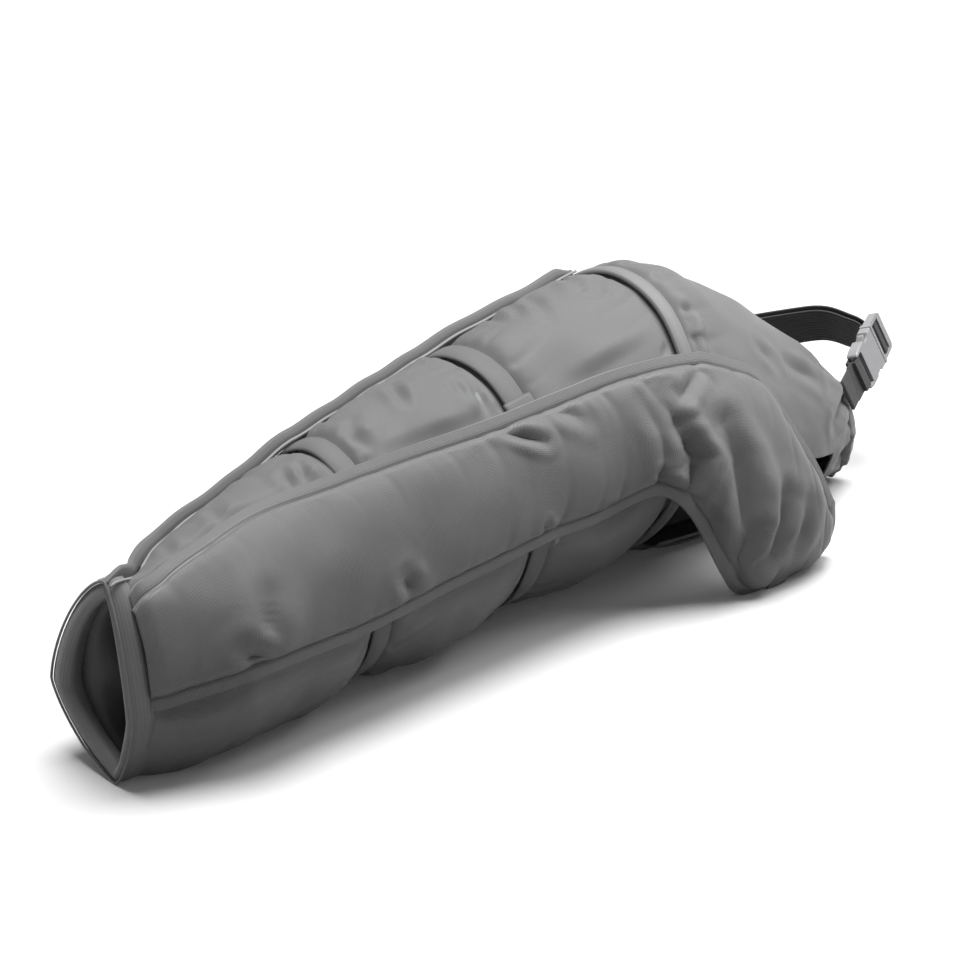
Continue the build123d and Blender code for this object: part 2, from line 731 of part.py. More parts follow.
# ---- the whole sleeve ----
def build_all():
    parts = {}
    slot = seam_slot()
    parts["top_seam_binding"] = top_seam_binding()
    for name in chamber_ends:
        port = port_places[name]
        parts[name + "_cover"] = chamber_cover(name) - slot - port_hole(port, 2 * cover_thick)
        parts[name + "_bladder"] = chamber_bladder(name) - slot - port_hole(port, lining_inset)
    port = port_places["shoulder"]
    parts["shoulder_cover"] = shoulder_cover() - port_hole(port, 2 * cover_thick)
    parts["shoulder_bladder"] = shoulder_bladder() - port_hole(port, lining_inset)
    parts["arm_lining"] = arm_lining()
    parts["shoulder_lining"] = shoulder_lining()
    for name, x in port_places.items():
        parts[name + "_air_port"] = air_port(x)
    strap_inset = land_inset - layer_gap
    parts["forearm_strap"] = strap_ring(forearm_strap_x, strap_width, strap_inset, strap_thick) - slot
    parts["elbow_strap"] = strap_ring(elbow_strap_x, strap_width, strap_inset, strap_thick) - slot
    parts["elbow_strap_patch"] = strap_patch()
    parts["shoulder_band"] = shoulder_band() - slot
    parts["wrist_binding"] = wrist_binding()
    parts["front_flap"] = front_flap()
    parts["flap_binding"] = flap_binding()
    parts["rim_binding"] = rim_binding()
    parts["hem_binding"] = hem_binding()
    parts["hem_tab"] = hem_tab()
    parts["belt_short"] = belt_short()
    parts["belt_long"] = belt_long()
    parts["belt_tail"] = belt_tail()
    parts["belt_loop"] = belt_loop()
    parts["buckle_socket"] = buckle_socket()
    parts["buckle_plug"] = buckle_plug()
    parts["prong_upper"] = buckle_prong(1)
    parts["prong_lower"] = buckle_prong(-1)
    return parts


for node, shape in build_all().items():
    export_step(Pos(shift_x, shift_y, 0) * shape, f"parts/{node}.step")
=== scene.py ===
import bpy
import math
import numpy as np
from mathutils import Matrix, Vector


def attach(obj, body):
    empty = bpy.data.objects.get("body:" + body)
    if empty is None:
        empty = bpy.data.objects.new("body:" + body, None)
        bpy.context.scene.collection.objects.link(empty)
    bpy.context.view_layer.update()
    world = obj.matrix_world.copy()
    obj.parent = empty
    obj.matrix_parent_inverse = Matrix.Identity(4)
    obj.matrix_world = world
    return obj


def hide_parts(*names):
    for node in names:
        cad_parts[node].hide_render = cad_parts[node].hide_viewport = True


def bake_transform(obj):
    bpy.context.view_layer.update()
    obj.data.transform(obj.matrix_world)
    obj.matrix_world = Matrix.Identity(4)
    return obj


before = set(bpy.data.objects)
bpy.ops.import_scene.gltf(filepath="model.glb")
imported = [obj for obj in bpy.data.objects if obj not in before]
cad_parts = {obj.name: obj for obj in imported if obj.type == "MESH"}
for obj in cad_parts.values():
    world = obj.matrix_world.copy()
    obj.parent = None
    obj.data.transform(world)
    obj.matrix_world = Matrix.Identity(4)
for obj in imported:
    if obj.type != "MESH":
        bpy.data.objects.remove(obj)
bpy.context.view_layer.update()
print("frame loaded")

mm = 0.001
fullTurn = 6.28
shift = np.array([-36.6, 14.9, 0.0])   # the sleeve's own middle to the row's origin, mm

# the sleeve's form, mm and degrees: x runs from the wrist to the shoulder
sleeve = {
    "wristX": -422, "forearmStrapX": -192, "elbowStrapX": -19, "armholeX": 132, "shoulderX": 400,
    "halfWidth": (60, 112), "halfHeight": (78, 128), "midY": (-48, 10), "fullness": 7, "lean": 10,
    "mouthFlare": 7, "mouthRise": 14, "mouthLength": 45, "mouthPointed": 0.6, "mouthLift": 2.2,
    # the mouth lies flatter on the near side
    "mouthNearFlat": 42, "mouthFarBulge": 8, "mouthDrop": 18, "mouthFlatLength": 95, "mouthFade": 1.3,
    "capDrop": 0.61, "capFade": 1.3, "capNearIn": 0.42, "capFarIn": 0.05, "capSquare": 0.8,
    "chestStart": -100, "chestFull": 53, "chestReach": 168, "chestMidZ": 60, "chestUnder": 110,
    "chestPower": (1.7, 2.6), "chestTaperFrom": 83, "chestTaperOver": 130, "chestTaper": 0.32,
}


def ease(a, b, x):
    t = np.clip((x - a) / (b - a), 0, 1)
    return t * t * (3 - 2 * t)


# one row of values along x: middle y, near and far half widths, middle height, top, the powers of the
# upper and lower halves, depth below the middle, lift off the floor
def bodyForm(x):
    s = sleeve
    wrist, armhole, strap = s["wristX"], s["armholeX"], s["forearmStrapX"]
    t = (x - wrist) / (armhole - wrist)
    flare = 1 - ease(wrist, wrist + s["mouthLength"], x)
    full = s["fullness"] * np.minimum((x - wrist) / (strap - wrist), (armhole - x) / (armhole - strap))
    wide = s["halfWidth"][0] * (1 - t) + s["halfWidth"][1] * t + s["mouthFlare"] * flare
    high = s["halfHeight"][0] * (1 - t) + s["halfHeight"][1] * t + full
    flat = np.clip(1 - (x - wrist) / s["mouthFlatLength"], 0, 1) ** s["mouthFade"]
    power, drop = 2 - s["mouthPointed"] * flare, s["mouthDrop"] * flat
    arm = [s["midY"][0] * (1 - t) + s["midY"][1] * t, wide - s["mouthNearFlat"] * flat,
           wide + s["mouthFarBulge"] * flat, high - drop, 2 * high + s["mouthRise"] * flare,
           power, power, high - drop, s["mouthLift"] * flare]
    c = np.maximum(0, (x - armhole) / (s["shoulderX"] - armhole))
    top = 2 * s["halfHeight"][1] * (1 - s["capDrop"] * c ** s["capFade"])
    cap = [s["midY"][1], s["halfWidth"][1] * (1 - s["capNearIn"] * c * c),
           s["halfWidth"][1] * (1 - s["capFarIn"] * c * c), 0.5 * top, top,
           2, 2 + s["capSquare"] * np.minimum(1, 2 * c), 0.5 * top, 0]
    return [np.where(x < armhole, a, b) for a, b in zip(arm, cap)]


def flapForm(x):
    # the body's form, spreading into the chest panel on the near side
    s, f = sleeve, bodyForm(x)
    t = ease(s["armholeX"] + s["chestStart"], s["armholeX"] + s["chestFull"], x)
    r = np.maximum(0, (x - s["armholeX"] - s["chestTaperFrom"]) / s["chestTaperOver"])
    wanted = {1: s["chestReach"] * (1 - s["chestTaper"] * r * r), 3: s["chestMidZ"],
              5: s["chestPower"][0], 6: s["chestPower"][1], 7: s["chestUnder"]}
    for k, v in wanted.items():
        f[k] = f[k] * (1 - t) + v * t
    return f


def onForm(form, x, angle, out=0.0):
    # angle 0 is the crest, 90 the near side, -90 the far side; out is mm proud of the form
    x, angle = np.broadcast_arrays(np.asarray(x, float), np.asarray(angle, float))
    midY, near, far, midZ, top, upper, lower, under, lift = form(x)
    s, c = np.sin(angle), np.cos(angle)
    power = np.where(c >= 0, upper, lower)
    reach = np.where(c >= 0, top - midZ, under) + out
    half = np.where(s >= 0, near, far) + out
    y = midY - half * np.sign(s) * np.abs(s) ** (2 / power)
    z = lift + midZ + reach * np.sign(c) * np.abs(c) ** (2 / power)
    elbow, armhole = sleeve["elbowStrapX"], sleeve["armholeX"]
    tilt = np.radians(sleeve["lean"]) * np.clip((x - elbow) / (armhole - elbow), 0, 1)
    return np.stack([x + np.sin(tilt) * z, y, np.cos(tilt) * z], -1)


def formNormals(form, x, angle, out):
    p = onForm(form, x, angle, out)
    dx = onForm(form, np.asarray(x) + 0.5, angle, out) - p
    da = onForm(form, x, np.asarray(angle) + 0.004, out) - p
    n = unit(np.cross(da, dx))
    centre = onForm(form, x, angle, -30.0)
    return np.where(np.sum(n * (p - centre), -1, keepdims=True) < 0, -n, n)


def waves(a, b, size, seed, count=6):
    # smooth unevenness of about one, repeating roughly every size mm
    rng = np.random.RandomState(seed)
    total = 0
    for _ in range(count):
        turn = rng.uniform(0, fullTurn)
        k = fullTurn / (size * rng.uniform(0.7, 1.6))
        phase = rng.uniform(0, fullTurn)
        total = total + np.sin(k * (a * math.cos(turn) + b * math.sin(turn)) + phase)
    return total / math.sqrt(count)


def uneven(a, b, table):
    # rows of height, size and seed
    return sum(height * waves(a, b, size, seed) for height, size, seed in table)


bunching = {"drift": 7, "fan": 17.0, "finer": (0.7, 0.61, 2.1), "wider": (0.6, 1.7), "sharp": 1.3,
            "depth": 0.62, "crown": 0.3}


def gathers(s, away, size, seed):
    # cloth bunched along a seam: sharp valleys across it that fan out and die away
    b = bunching
    drift = s + b["drift"] * np.sin(away / b["fan"] + seed)
    w = np.sin(fullTurn * drift / size + seed)
    w = w + b["finer"][0] * np.sin(fullTurn * drift / (size * b["finer"][1]) + b["finer"][2] * seed)
    w = w + b["wider"][0] * np.sin(fullTurn * drift / (size * b["wider"][1]) + seed)
    return b["crown"] - np.maximum(0, w) ** b["sharp"] * b["depth"]


crease = {"steps": 9, "atEnds": 0.35, "lip": 0.5, "lipAt": 1.9, "lipWide": 0.9}


def creases(points, form, out, table):
    # each fold: (x, angle) places it runs through, half width and depth in mm
    total = np.zeros(points.shape[:-1])
    t = np.linspace(0, 1, crease["steps"])[:, None]
    for path, width, depth in table:
        places = np.array(path, float)
        line = onForm(form, places[:, 0], np.radians(places[:, 1]), out)
        seg = (line[:-1, None] * (1 - t) + line[1:, None] * t).reshape(-1, 3)
        best = np.full(points.shape[:-1], 1e9)
        along = np.zeros(points.shape[:-1])
        for p, share in zip(seg, np.linspace(0, 1, len(seg))):
            d = np.linalg.norm(points - p, axis=-1)
            along = np.where(d < best, share, along)
            best = np.minimum(best, d)
        strong = crease["atEnds"] + (1 - crease["atEnds"]) * np.sin(np.pi * np.clip(along, 0.02, 0.98))
        valley = -np.exp(-(best / width) ** 2)
        lip = crease["lip"] * np.exp(-((best - crease["lipAt"] * width) / (crease["lipWide"] * width)) ** 2)
        total += depth * strong * (valley + lip)
    return total


def roundForm(count):
    return np.linspace(-np.pi, np.pi, count, endpoint=False)


def unit(v):
    return v / np.maximum(np.linalg.norm(v, axis=-1, keepdims=True), 1e-9)


def lengths(points, axis):
    step = np.linalg.norm(np.diff(points, axis=axis), axis=-1)
    zero = np.zeros_like(np.take(step, [0], axis=axis))
    return np.concatenate([zero, np.cumsum(step, axis=axis)], axis=axis)


def smoothLine(knots, count):
    # natural spline through knots, evenly spread by length
    knots = np.asarray(knots, float)
    n = len(knots)
    t = lengths(knots, 0)
    h = np.diff(t)
    a = np.zeros((n, n))
    b = np.zeros((n, knots.shape[1]))
    a[0, 0] = a[-1, -1] = 1
    for i in range(1, n - 1):
        a[i, i - 1], a[i, i], a[i, i + 1] = h[i - 1], 2 * (h[i - 1] + h[i]), h[i]
        b[i] = 6 * ((knots[i + 1] - knots[i]) / h[i] - (knots[i] - knots[i - 1]) / h[i - 1])
    m = np.linalg.solve(a, b)
    s = np.linspace(0, t[-1], count)
    k = np.clip(np.searchsorted(t, s) - 1, 0, n - 2)
    e0, e1, hk = (s - t[k])[:, None], (t[k + 1] - s)[:, None], h[k][:, None]
    bent = (m[k] * e1 ** 3 + m[k + 1] * e0 ** 3) / (6 * hk)
    return bent + (knots[k] / hk - m[k] * hk / 6) * e1 + (knots[k + 1] / hk - m[k + 1] * hk / 6) * e0


def pathFrames(path, normals, closed=False):
    if closed:
        along = unit(np.roll(path, -1, 0) - np.roll(path, 1, 0))
    else:
        along = unit(np.gradient(path, axis=0))
    up = unit(normals - along * np.sum(normals * along, -1, keepdims=True))
    return along, np.cross(up, along), up


# meshes
def inPlace(grid, lowest):
    # mm about the sleeve's middle to metres in the frame, nothing under the floor
    verts = ((grid + shift) * mm).reshape(-1, 3)
    verts[:, 2] = np.maximum(verts[:, 2], lowest)
    return verts


def makeMesh(name, verts, faces, uvs, material):
    mesh = bpy.data.meshes.new(name)
    mesh.from_pydata([tuple(v) for v in verts], [], faces)
    mesh.materials.append(material)
    layer = mesh.uv_layers.new(name="cloth")
    layer.data.foreach_set("uv", np.array(uvs, float).reshape(-1))
    mesh.polygons.foreach_set("use_smooth", [True] * len(faces))
    mesh.update()
    piece = bpy.data.objects.new(name, mesh)
    bpy.context.scene.collection.objects.link(piece)
    return piece


def gridFaces(rows, cols, wrapRows=False, wrapCols=False, keep=None, flip=False):
    faces = []
    for i in range(rows if wrapRows else rows - 1):
        for j in range(cols if wrapCols else cols - 1):
            if keep is not None and not keep[i, j]:
                continue
            a, b = i * cols + j, i * cols + (j + 1) % cols
            c, d = ((i + 1) % rows) * cols + (j + 1) % cols, ((i + 1) % rows) * cols + j
            faces.append((a, d, c, b) if flip else (a, b, c, d))
    return faces


def clothSheet(name, grid, material, wrapCols=False, keep=None, flip=False, thick=0.0, uv=None):
    # grid of points in mm to a smooth sheet of cloth, uv in metres along and across it
    rows, cols = grid.shape[:2]
    u, v = uv if uv is not None else (lengths(grid, 0), lengths(grid, 1))
    faces = gridFaces(rows, cols, False, wrapCols, keep, flip)
    flatU, flatV = (u * mm).reshape(-1), (v * mm).reshape(-1)
    uvs = []
    for f in faces:
        vs = [flatV[i] for i in f]
        if max(vs) - min(vs) > 0.1:   # the last column closes on the first
            top = max(vs)
            vs = [w if w > top / 2 else top + (w - min(vs)) + 0.002 for w in vs]
        uvs.extend((flatU[i], w) for i, w in zip(f, vs))
    piece = makeMesh(name, inPlace(grid, 0.0004), faces, uvs, material)
    if thick:
        wall = piece.modifiers.new("wall", "SOLIDIFY")
        wall.thickness, wall.offset, wall.use_rim = thick * mm, -1, True
        graph = bpy.context.evaluated_depsgraph_get()
        mesh = bpy.data.meshes.new_from_object(piece.evaluated_get(graph))
        piece.modifiers.clear()
        piece.data = mesh
    return piece


def tubeUvs(faces, rows, cols, along, around, total, girth):
    # the last row and column close on the first, so there the cloth runs on to total and girth
    uvs = []
    for f in faces:
        closesRows = any(k // cols == rows - 1 for k in f)
        closesCols = any(k % cols == cols - 1 for k in f)
        for k in f:
            i, j = divmod(k, cols)
            u = total if i == 0 and closesRows else along[i]
            v = girth if j == 0 and closesCols else around[j]
            uvs.append((u * mm, v * mm))
    return uvs


def sweep(name, path, side, up, profile, material, closed=False, flip=False):
    # a closed profile of (side, up) offsets in mm carried along a path
    prof = np.asarray(profile, float)
    if prof.ndim == 2:
        prof = np.broadcast_to(prof, (len(path),) + prof.shape)
    grid = path[:, None] + side[:, None] * prof[..., 0:1] + up[:, None] * prof[..., 1:2]
    rows, cols = grid.shape[:2]
    faces = gridFaces(rows, cols, closed, True, None, flip)
    along, around = lengths(path, 0), lengths(prof[0], 0)
    girth = around[-1] + np.linalg.norm(prof[0][0] - prof[0][-1])
    total = along[-1] + np.linalg.norm(path[0] - path[-1])
    uvs = tubeUvs(faces, rows, cols, along, around, total, girth)
    if not closed:   # end caps
        first, last = tuple(range(cols)), tuple((rows - 1) * cols + k for k in range(cols))
        ends = [first, last[::-1]] if flip else [first[::-1], last]
        faces = faces + ends
        uvs += [(0, around[k] * mm) for k in ends[0]]
        uvs += [(total * mm, around[k % cols] * mm) for k in ends[1]]
    return makeMesh(name, inPlace(grid, 0.0003), faces, uvs, material)


def roundCord(radius):
    return [(radius * math.cos(k * math.pi / 4), radius * math.sin(k * math.pi / 4)) for k in range(8)]


def ringMesh(name, grid, material, nodes=()):
    # a closed section carried round a ring: points round the ring and across the section
    rows, cols = grid.shape[:2]
    faces = gridFaces(rows, cols, True, True, None, True)
    length, around = lengths(grid[:, 1], 0), lengths(grid[0], 0)
    uvs = tubeUvs(faces, rows, cols, length, around, length[-1] + 2, around[-1] + 12)
    return dress(makeMesh(name, inPlace(grid, 0.0003), faces, uvs, material), nodes=nodes)


def dress(piece, body="sleeve", nodes=()):
    if body:
        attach(piece, body)
    if nodes:
        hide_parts(*nodes)
    return piece


# finishes
def principled(name):
    material = bpy.data.materials.new(name)
    material.use_nodes = True
    tree = material.node_tree
    return material, tree, tree.nodes["Principled BSDF"]


def setInputs(made, values):
    for key, value in values.items():
        made.inputs[key].default_value = value


def node(tree, kind, inputs=None, **values):
    made = tree.nodes.new("ShaderNode" + kind)
    for key, value in values.items():
        setattr(made, key, value)
    setInputs(made, inputs or {})
    return made


def noise(tree, place, inputs):
    made = node(tree, "TexNoise", inputs)
    tree.links.new(place.outputs["Object"], made.inputs["Vector"])
    return made


def tinted(color, share):
    return (*[min(1, c * share) for c in color], 1)


def clothFinish(name, look):
    # woven cloth: two crossed sets of threads, painted highlight on the thread crowns and painted shade
    # between them, soft mottling
    material, tree, shader = principled(name)
    link = tree.links.new
    uv = node(tree, "UVMap", uv_map="cloth")
    weave = node(tree, "Math", operation="MULTIPLY")
    for k, way in enumerate("XY"):
        thread = node(tree, "TexWave", wave_type="BANDS", bands_direction=way, wave_profile="SIN",
                      inputs={"Scale": 0.314 / (look["pitch"][k] * mm), "Distortion": 0.0})
        link(uv.outputs["UV"], thread.inputs["Vector"])
        link(thread.outputs["Fac"], weave.inputs[k])
    place = node(tree, "TexCoord")
    weaveHighlightAndShade = look["weaveHighlightAndShade"]
    # colour follows the weave's height: painted highlight on the crowns, painted shade in the dips between
    # threads
    paintedWeaveLight = node(tree, "MixRGB", {"Color1": tinted(look["color"], 1 - weaveHighlightAndShade),
                                           "Color2": tinted(look["color"], 1 + 1.6 * weaveHighlightAndShade)})
    link(weave.outputs[0], paintedWeaveLight.inputs["Fac"])
    mottle = noise(tree, place, {"Scale": look["patches"], "Detail": 3})
    vary = node(tree, "MapRange", {"To Min": 1 - look["mottle"], "To Max": 1 + look["mottle"]})
    link(mottle.outputs["Fac"], vary.inputs["Value"])
    shade = node(tree, "VectorMath", operation="SCALE")
    link(paintedWeaveLight.outputs["Color"], shade.inputs[0])
    link(vary.outputs["Result"], shade.inputs["Scale"])
    link(shade.outputs[0], shader.inputs["Base Color"])
    bump = node(tree, "Bump", {"Strength": look["bump"], "Distance": 0.0003})
    link(weave.outputs[0], bump.inputs["Height"])
    crinkle = noise(tree, place, {"Scale": 42, "Detail": 4, "Distortion": 0.6})
    fine = node(tree, "Bump", {"Strength": look["creaseBump"], "Distance": 0.002})
    link(crinkle.outputs["Fac"], fine.inputs["Height"])
    link(bump.outputs["Normal"], fine.inputs["Normal"])
    link(fine.outputs["Normal"], shader.inputs["Normal"])
    between = {"To Min": look["roughness"] + 0.06, "To Max": look["roughness"] - 0.06}
    rough = node(tree, "MapRange", between)
    link(weave.outputs[0], rough.inputs["Value"])
    link(rough.outputs["Result"], shader.inputs["Roughness"])
    setInputs(shader, {"Sheen Weight": look["sheen"], "Sheen Roughness": 0.45,
                       "Sheen Tint": (0.9, 0.9, 0.92, 1)})
    return material


def plasticFinish(name, look):
    # moulded plastic: faint cloudiness, fine grain, softened edges
    material, tree, shader = principled(name)
    link = tree.links.new
    place = node(tree, "TexCoord")
    cloud = noise(tree, place, {"Scale": 60})
    vary = node(tree, "MixRGB", {"Color1": tinted(look["color"], 0.95),
                                           "Color2": tinted(look["color"], 1.05)})
    link(cloud.outputs["Fac"], vary.inputs["Fac"])
    link(vary.outputs["Color"], shader.inputs["Base Color"])
    grain = noise(tree, place, {"Scale": 900})
    bump = node(tree, "Bump", {"Strength": 0.15, "Distance": 0.0001})
    link(grain.outputs["Fac"], bump.inputs["Height"])
    edge = node(tree, "Bevel", {"Radius": look["edge"] * mm}, samples=4)
    link(edge.outputs["Normal"], bump.inputs["Normal"])
    link(bump.outputs["Normal"], shader.inputs["Normal"])
    setInputs(shader, {"Roughness": look["roughness"]})
    return material


cloths = {   # pitch is one thread's width each way, mm
    # each cloth has one entry for the painted highlight on its thread crowns and the painted shade between its
    # threads
    "coverCloth": {"color": (0.262, 0.262, 0.265), "pitch": (1.15, 1.15), "weaveHighlightAndShade": 0.16, "bump": 0.9,
                   "creaseBump": 0.25, "patches": 9, "mottle": 0.05, "roughness": 0.39, "sheen": 0.2},
    "bindingTape": {"color": (0.31, 0.31, 0.313), "pitch": (0.9, 2.4), "weaveHighlightAndShade": 0.08, "bump": 0.4,
                    "creaseBump": 0.05, "patches": 20, "mottle": 0.04, "roughness": 0.5, "sheen": 0.25},
    "strapTape": {"color": (0.22, 0.22, 0.223), "pitch": (1.0, 2.0), "weaveHighlightAndShade": 0.09, "bump": 0.5,
                  "creaseBump": 0.05, "patches": 20, "mottle": 0.04, "roughness": 0.55, "sheen": 0.2},
    "pipingCord": {"color": (0.42, 0.42, 0.425), "pitch": (0.9, 1.2), "weaveHighlightAndShade": 0.06, "bump": 0.3,
                   "creaseBump": 0.0, "patches": 20, "mottle": 0.03, "roughness": 0.5, "sheen": 0.2},
    "liningCloth": {"color": (0.06, 0.06, 0.062), "pitch": (1.2, 1.2), "weaveHighlightAndShade": 0.12, "bump": 0.4,
                    "creaseBump": 0.15, "patches": 12, "mottle": 0.08, "roughness": 0.5, "sheen": 0.15},
    "beltWebbing": {"color": (0.055, 0.055, 0.057), "pitch": (1.1, 2.6), "weaveHighlightAndShade": 0.2, "bump": 0.8,
                    "creaseBump": 0.05, "patches": 30, "mottle": 0.08, "roughness": 0.6, "sheen": 0.3},
}
plastics = {
    "bucklePlastic": {"color": (0.43, 0.43, 0.44), "roughness": 0.32, "edge": 0.7},
    "inletPlastic": {"color": (0.02, 0.02, 0.021), "roughness": 0.4, "edge": 0.4},
    "cellFilm": {"color": (0.3, 0.31, 0.32), "roughness": 0.35, "edge": 0.3},
}
cover, binding, strapTape, piping, lining, webbing = (clothFinish(*pair) for pair in cloths.items())
bucklePlastic, inletPlastic, cellFilm = (plasticFinish(*pair) for pair in plastics.items())
print("finishes made")


# the front flap: a strip from the wrist that spreads into the chest panel
flap = {
    "out": 5.2, "thick": 3.4, "edgeDrop": 1.6, "groove": 3.0, "grooveAt": 11.5, "grooveWide": 2.2,
    "puff": 4.2, "puffFrom": 11, "puffFade": 12, "puffRise": (10.5, 16), "startDrop": 4.6, "startLength": 13,
    "gather": {"height": 1.0, "more": 1.6, "moreFrom": (-120, 60), "rise": (11, 17), "fade": 20,
               "size": 34, "seed": 2},
    "uneven": ((1.3, 120, 31), (0.5, 45, 32)), "unevenFrom": (10, 26), "halfGirth": 110,
    "foldDepth": 2.3, "foldsFrom": (9, 20),
    # binding folded over the edge: (inwards, up) from the edge, then the piping beside it
    "tape": [(-0.7, -3.5), (-1.3, -1.6), (-1.1, 0.6), (0.1, 2.0), (2.4, 2.6), (5.6, 2.7),
             (7.9, 2.3), (9.2, 1.2), (9.3, -1.8), (5.0, -0.4), (1.0, -0.8), (0.5, -3.5)],
    "piping": 0.95, "pipingAt": (10.4, 0.5),
    # rows of (x, angle) on the upper edge and (x, angle) on the lower edge
    "ribs": [
        (-407, 24, -407, 85.5), (-396, 17, -394, 87.3), (-373, 10.4, -373, 89.5),
        (-334, 9.6, -336, 92), (-292, 10.9, -287, 95.5), (-240, 20.2, -236, 99.1),
        (-195, 27.6, -194, 100.3), (-146, 32.3, -152, 99.5), (-96.5, 36.9, -103, 98.9),
        (-45, 40.7, -53.5, 98.8), (3.7, 43.1, -4.2, 99.1), (48, 44.3, 41.8, 99.5), (80, 43, 65.3, 93),
        (110, 41.7, 82, 89.3), (140, 41.5, 95.5, 90.1), (165, 41.7, 108, 93), (182, 42.4, 120, 98),
        (196, 45.1, 135, 105), (205, 51.4, 148, 110.5), (213.5, 57.8, 158.6, 114.5),
        (223, 64.2, 175, 116.2), (234, 70.6, 195, 117), (250, 82.3, 215, 117),
        (264.6, 92.2, 235, 116.3), (274, 100, 255, 115), (277, 107, 268, 113.5)],
    "folds": [
        ([(102, 69), (108, 73), (104, 84)], 6, 4.5),
        ([(130, 62), (141, 70), (146, 79), (150, 90), (147, 103)], 11, 5.5),
        ([(184, 78), (182, 85), (176, 95), (160, 104)], 10, 4.5), ([(161, 88), (149, 101)], 6, 2.5),
        ([(83, 51), (92, 61), (97, 70), (102, 81), (100, 88)], 7, 4.0),
        ([(94, 51), (100, 56), (120, 48)], 6, 2.4), ([(78, 82), (83, 87)], 5, 3.0),
        ([(72, 87), (74, 89)], 4, 2.0), ([(41, 97), (37, 94)], 4, 2.0), ([(-27, 93), (-31, 89)], 4, 1.8),
        ([(-52, 47), (-39, 52), (-31, 55), (-19, 59)], 5, 2.6), ([(-5, 47), (21, 59)], 7, 1.6),
        ([(-322, 88), (-339, 75)], 8, 3.0), ([(-312, 59), (-325, 85)], 11, 1.6),
        ([(-174, 90), (-183, 82)], 7, 1.8), ([(72, 56), (82, 67), (85, 80)], 9, 2.0),
        ([(210, 82), (208, 92), (190, 100)], 9, 2.0)],
}


def underFlap(x, angle):
    # 1 where the flap lies over the sleeve, 0 in the open
    ribs = np.array(flap["ribs"], float)
    top, low = np.interp(x, ribs[:, 0], ribs[:, 1]), np.interp(x, ribs[:, 2], ribs[:, 3])
    degrees = np.degrees(angle)
    degrees = np.where(degrees > 180, degrees - 360, degrees)
    inside = ease(top - 9, top, degrees) * (1 - ease(low + 1, low + 15, degrees))
    return inside * ease(ribs[0, 0] - 2, ribs[0, 0] + 4, x)


def makeFlap():
    ribs = smoothLine(flap["ribs"], 330)
    v = (1 - np.cos(np.linspace(0, np.pi, 110)))[None] / 2
    x = ribs[:, 0:1] * (1 - v) + ribs[:, 2:3] * v
    angle = np.radians(ribs[:, 1:2] * (1 - v) + ribs[:, 3:4] * v)
    flat = onForm(flapForm, x, angle, flap["out"])
    along, across = lengths(flat, 0), lengths(flat, 1)
    edge = np.minimum(across, across[:, -1:] - across)
    edge = np.minimum(edge, np.linalg.norm(flat - flat[-1:, :], axis=-1))
    start = np.linalg.norm(flat - flat[:1, :], axis=-1)
    padded = np.maximum(edge - flap["puffFrom"], 0)
    out = flap["out"] - flap["edgeDrop"]
    out = out - flap["groove"] * np.exp(-((edge - flap["grooveAt"]) / flap["grooveWide"]) ** 2)
    puff = flap["edgeDrop"] + flap["puff"] * (1 - np.exp(-padded / flap["puffFade"]))
    out = out + puff * ease(*flap["puffRise"], edge)
    out = out - flap["startDrop"] * (1 - ease(0, flap["startLength"], start))
    g = flap["gather"]
    height = (g["height"] + g["more"] * ease(*g["moreFrom"], x)) * ease(*g["rise"], edge)
    out = out + height * np.exp(-padded / g["fade"]) * gathers(along, edge, g["size"], g["seed"])
    out = out + uneven(x, angle * flap["halfGirth"], flap["uneven"]) * ease(*flap["unevenFrom"], edge)
    folds = creases(flat, flapForm, flap["out"], flap["folds"])
    out = out + flap["foldDepth"] * folds * ease(*flap["foldsFrom"], edge)
    grid = onForm(flapForm, x, angle, out)
    piece = clothSheet("frontFlap", grid, cover, thick=flap["thick"], flip=True)
    dress(piece, nodes=("front_flap",))
    bindFlap(grid, x, angle)


def bindFlap(grid, x, angle):
    # tape and piping along the upper edge, then along the lower one and round the far end
    def roundEnd(rows, end):
        return np.concatenate([rows, end[::6][::-1][1:-1]])

    lowerIn = roundEnd(grid[:, -5] - grid[:, -1], grid[-5] - grid[-1])
    runs = {
        "Upper": (grid[:, 0], grid[:, 4] - grid[:, 0], x[:, 0], angle[:, 0], ("flap_binding",)),
        "Lower": (roundEnd(grid[:, -1], grid[-1]), lowerIn, roundEnd(x[:, -1], x[-1]),
                  roundEnd(angle[:, -1], angle[-1]), ()),
    }
    inwards, rise = flap["pipingAt"]
    for label, (line, inward, runX, runAngle, nodes) in runs.items():
        along, side, up = pathFrames(line, formNormals(flapForm, runX, runAngle, flap["out"]))
        side = np.where(np.sum(side * inward, -1, keepdims=True) < 0, -side, side)
        handed = np.sum(np.cross(side, up) * along, -1).mean() > 0
        tape = sweep("flapBinding" + label, line, side, up, flap["tape"], binding, flip=handed)
        dress(tape, nodes=nodes)
        cord = line + side * inwards + up * rise
        dress(sweep("flapPiping" + label, cord, side, up, roundCord(flap["piping"]), piping, flip=not handed))


# the cloth lies flat round each moulded inlet
inlets = ("forearm_air_port", "elbow_air_port", "upper_arm_air_port", "shoulder_air_port")
inletSeat = {"level": -0.2, "reach": 20}


def middleOf(name):
    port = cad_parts[name]
    return np.mean([port.matrix_world @ Vector(corner) for corner in port.bound_box], axis=0) / mm - shift


def flatAtInlets(points, out):
    for name in inlets:
        near = np.linalg.norm(points - middleOf(name), axis=-1) / inletSeat["reach"]
        out = out - (out - inletSeat["level"]) * np.exp(-near ** 6)
    return out


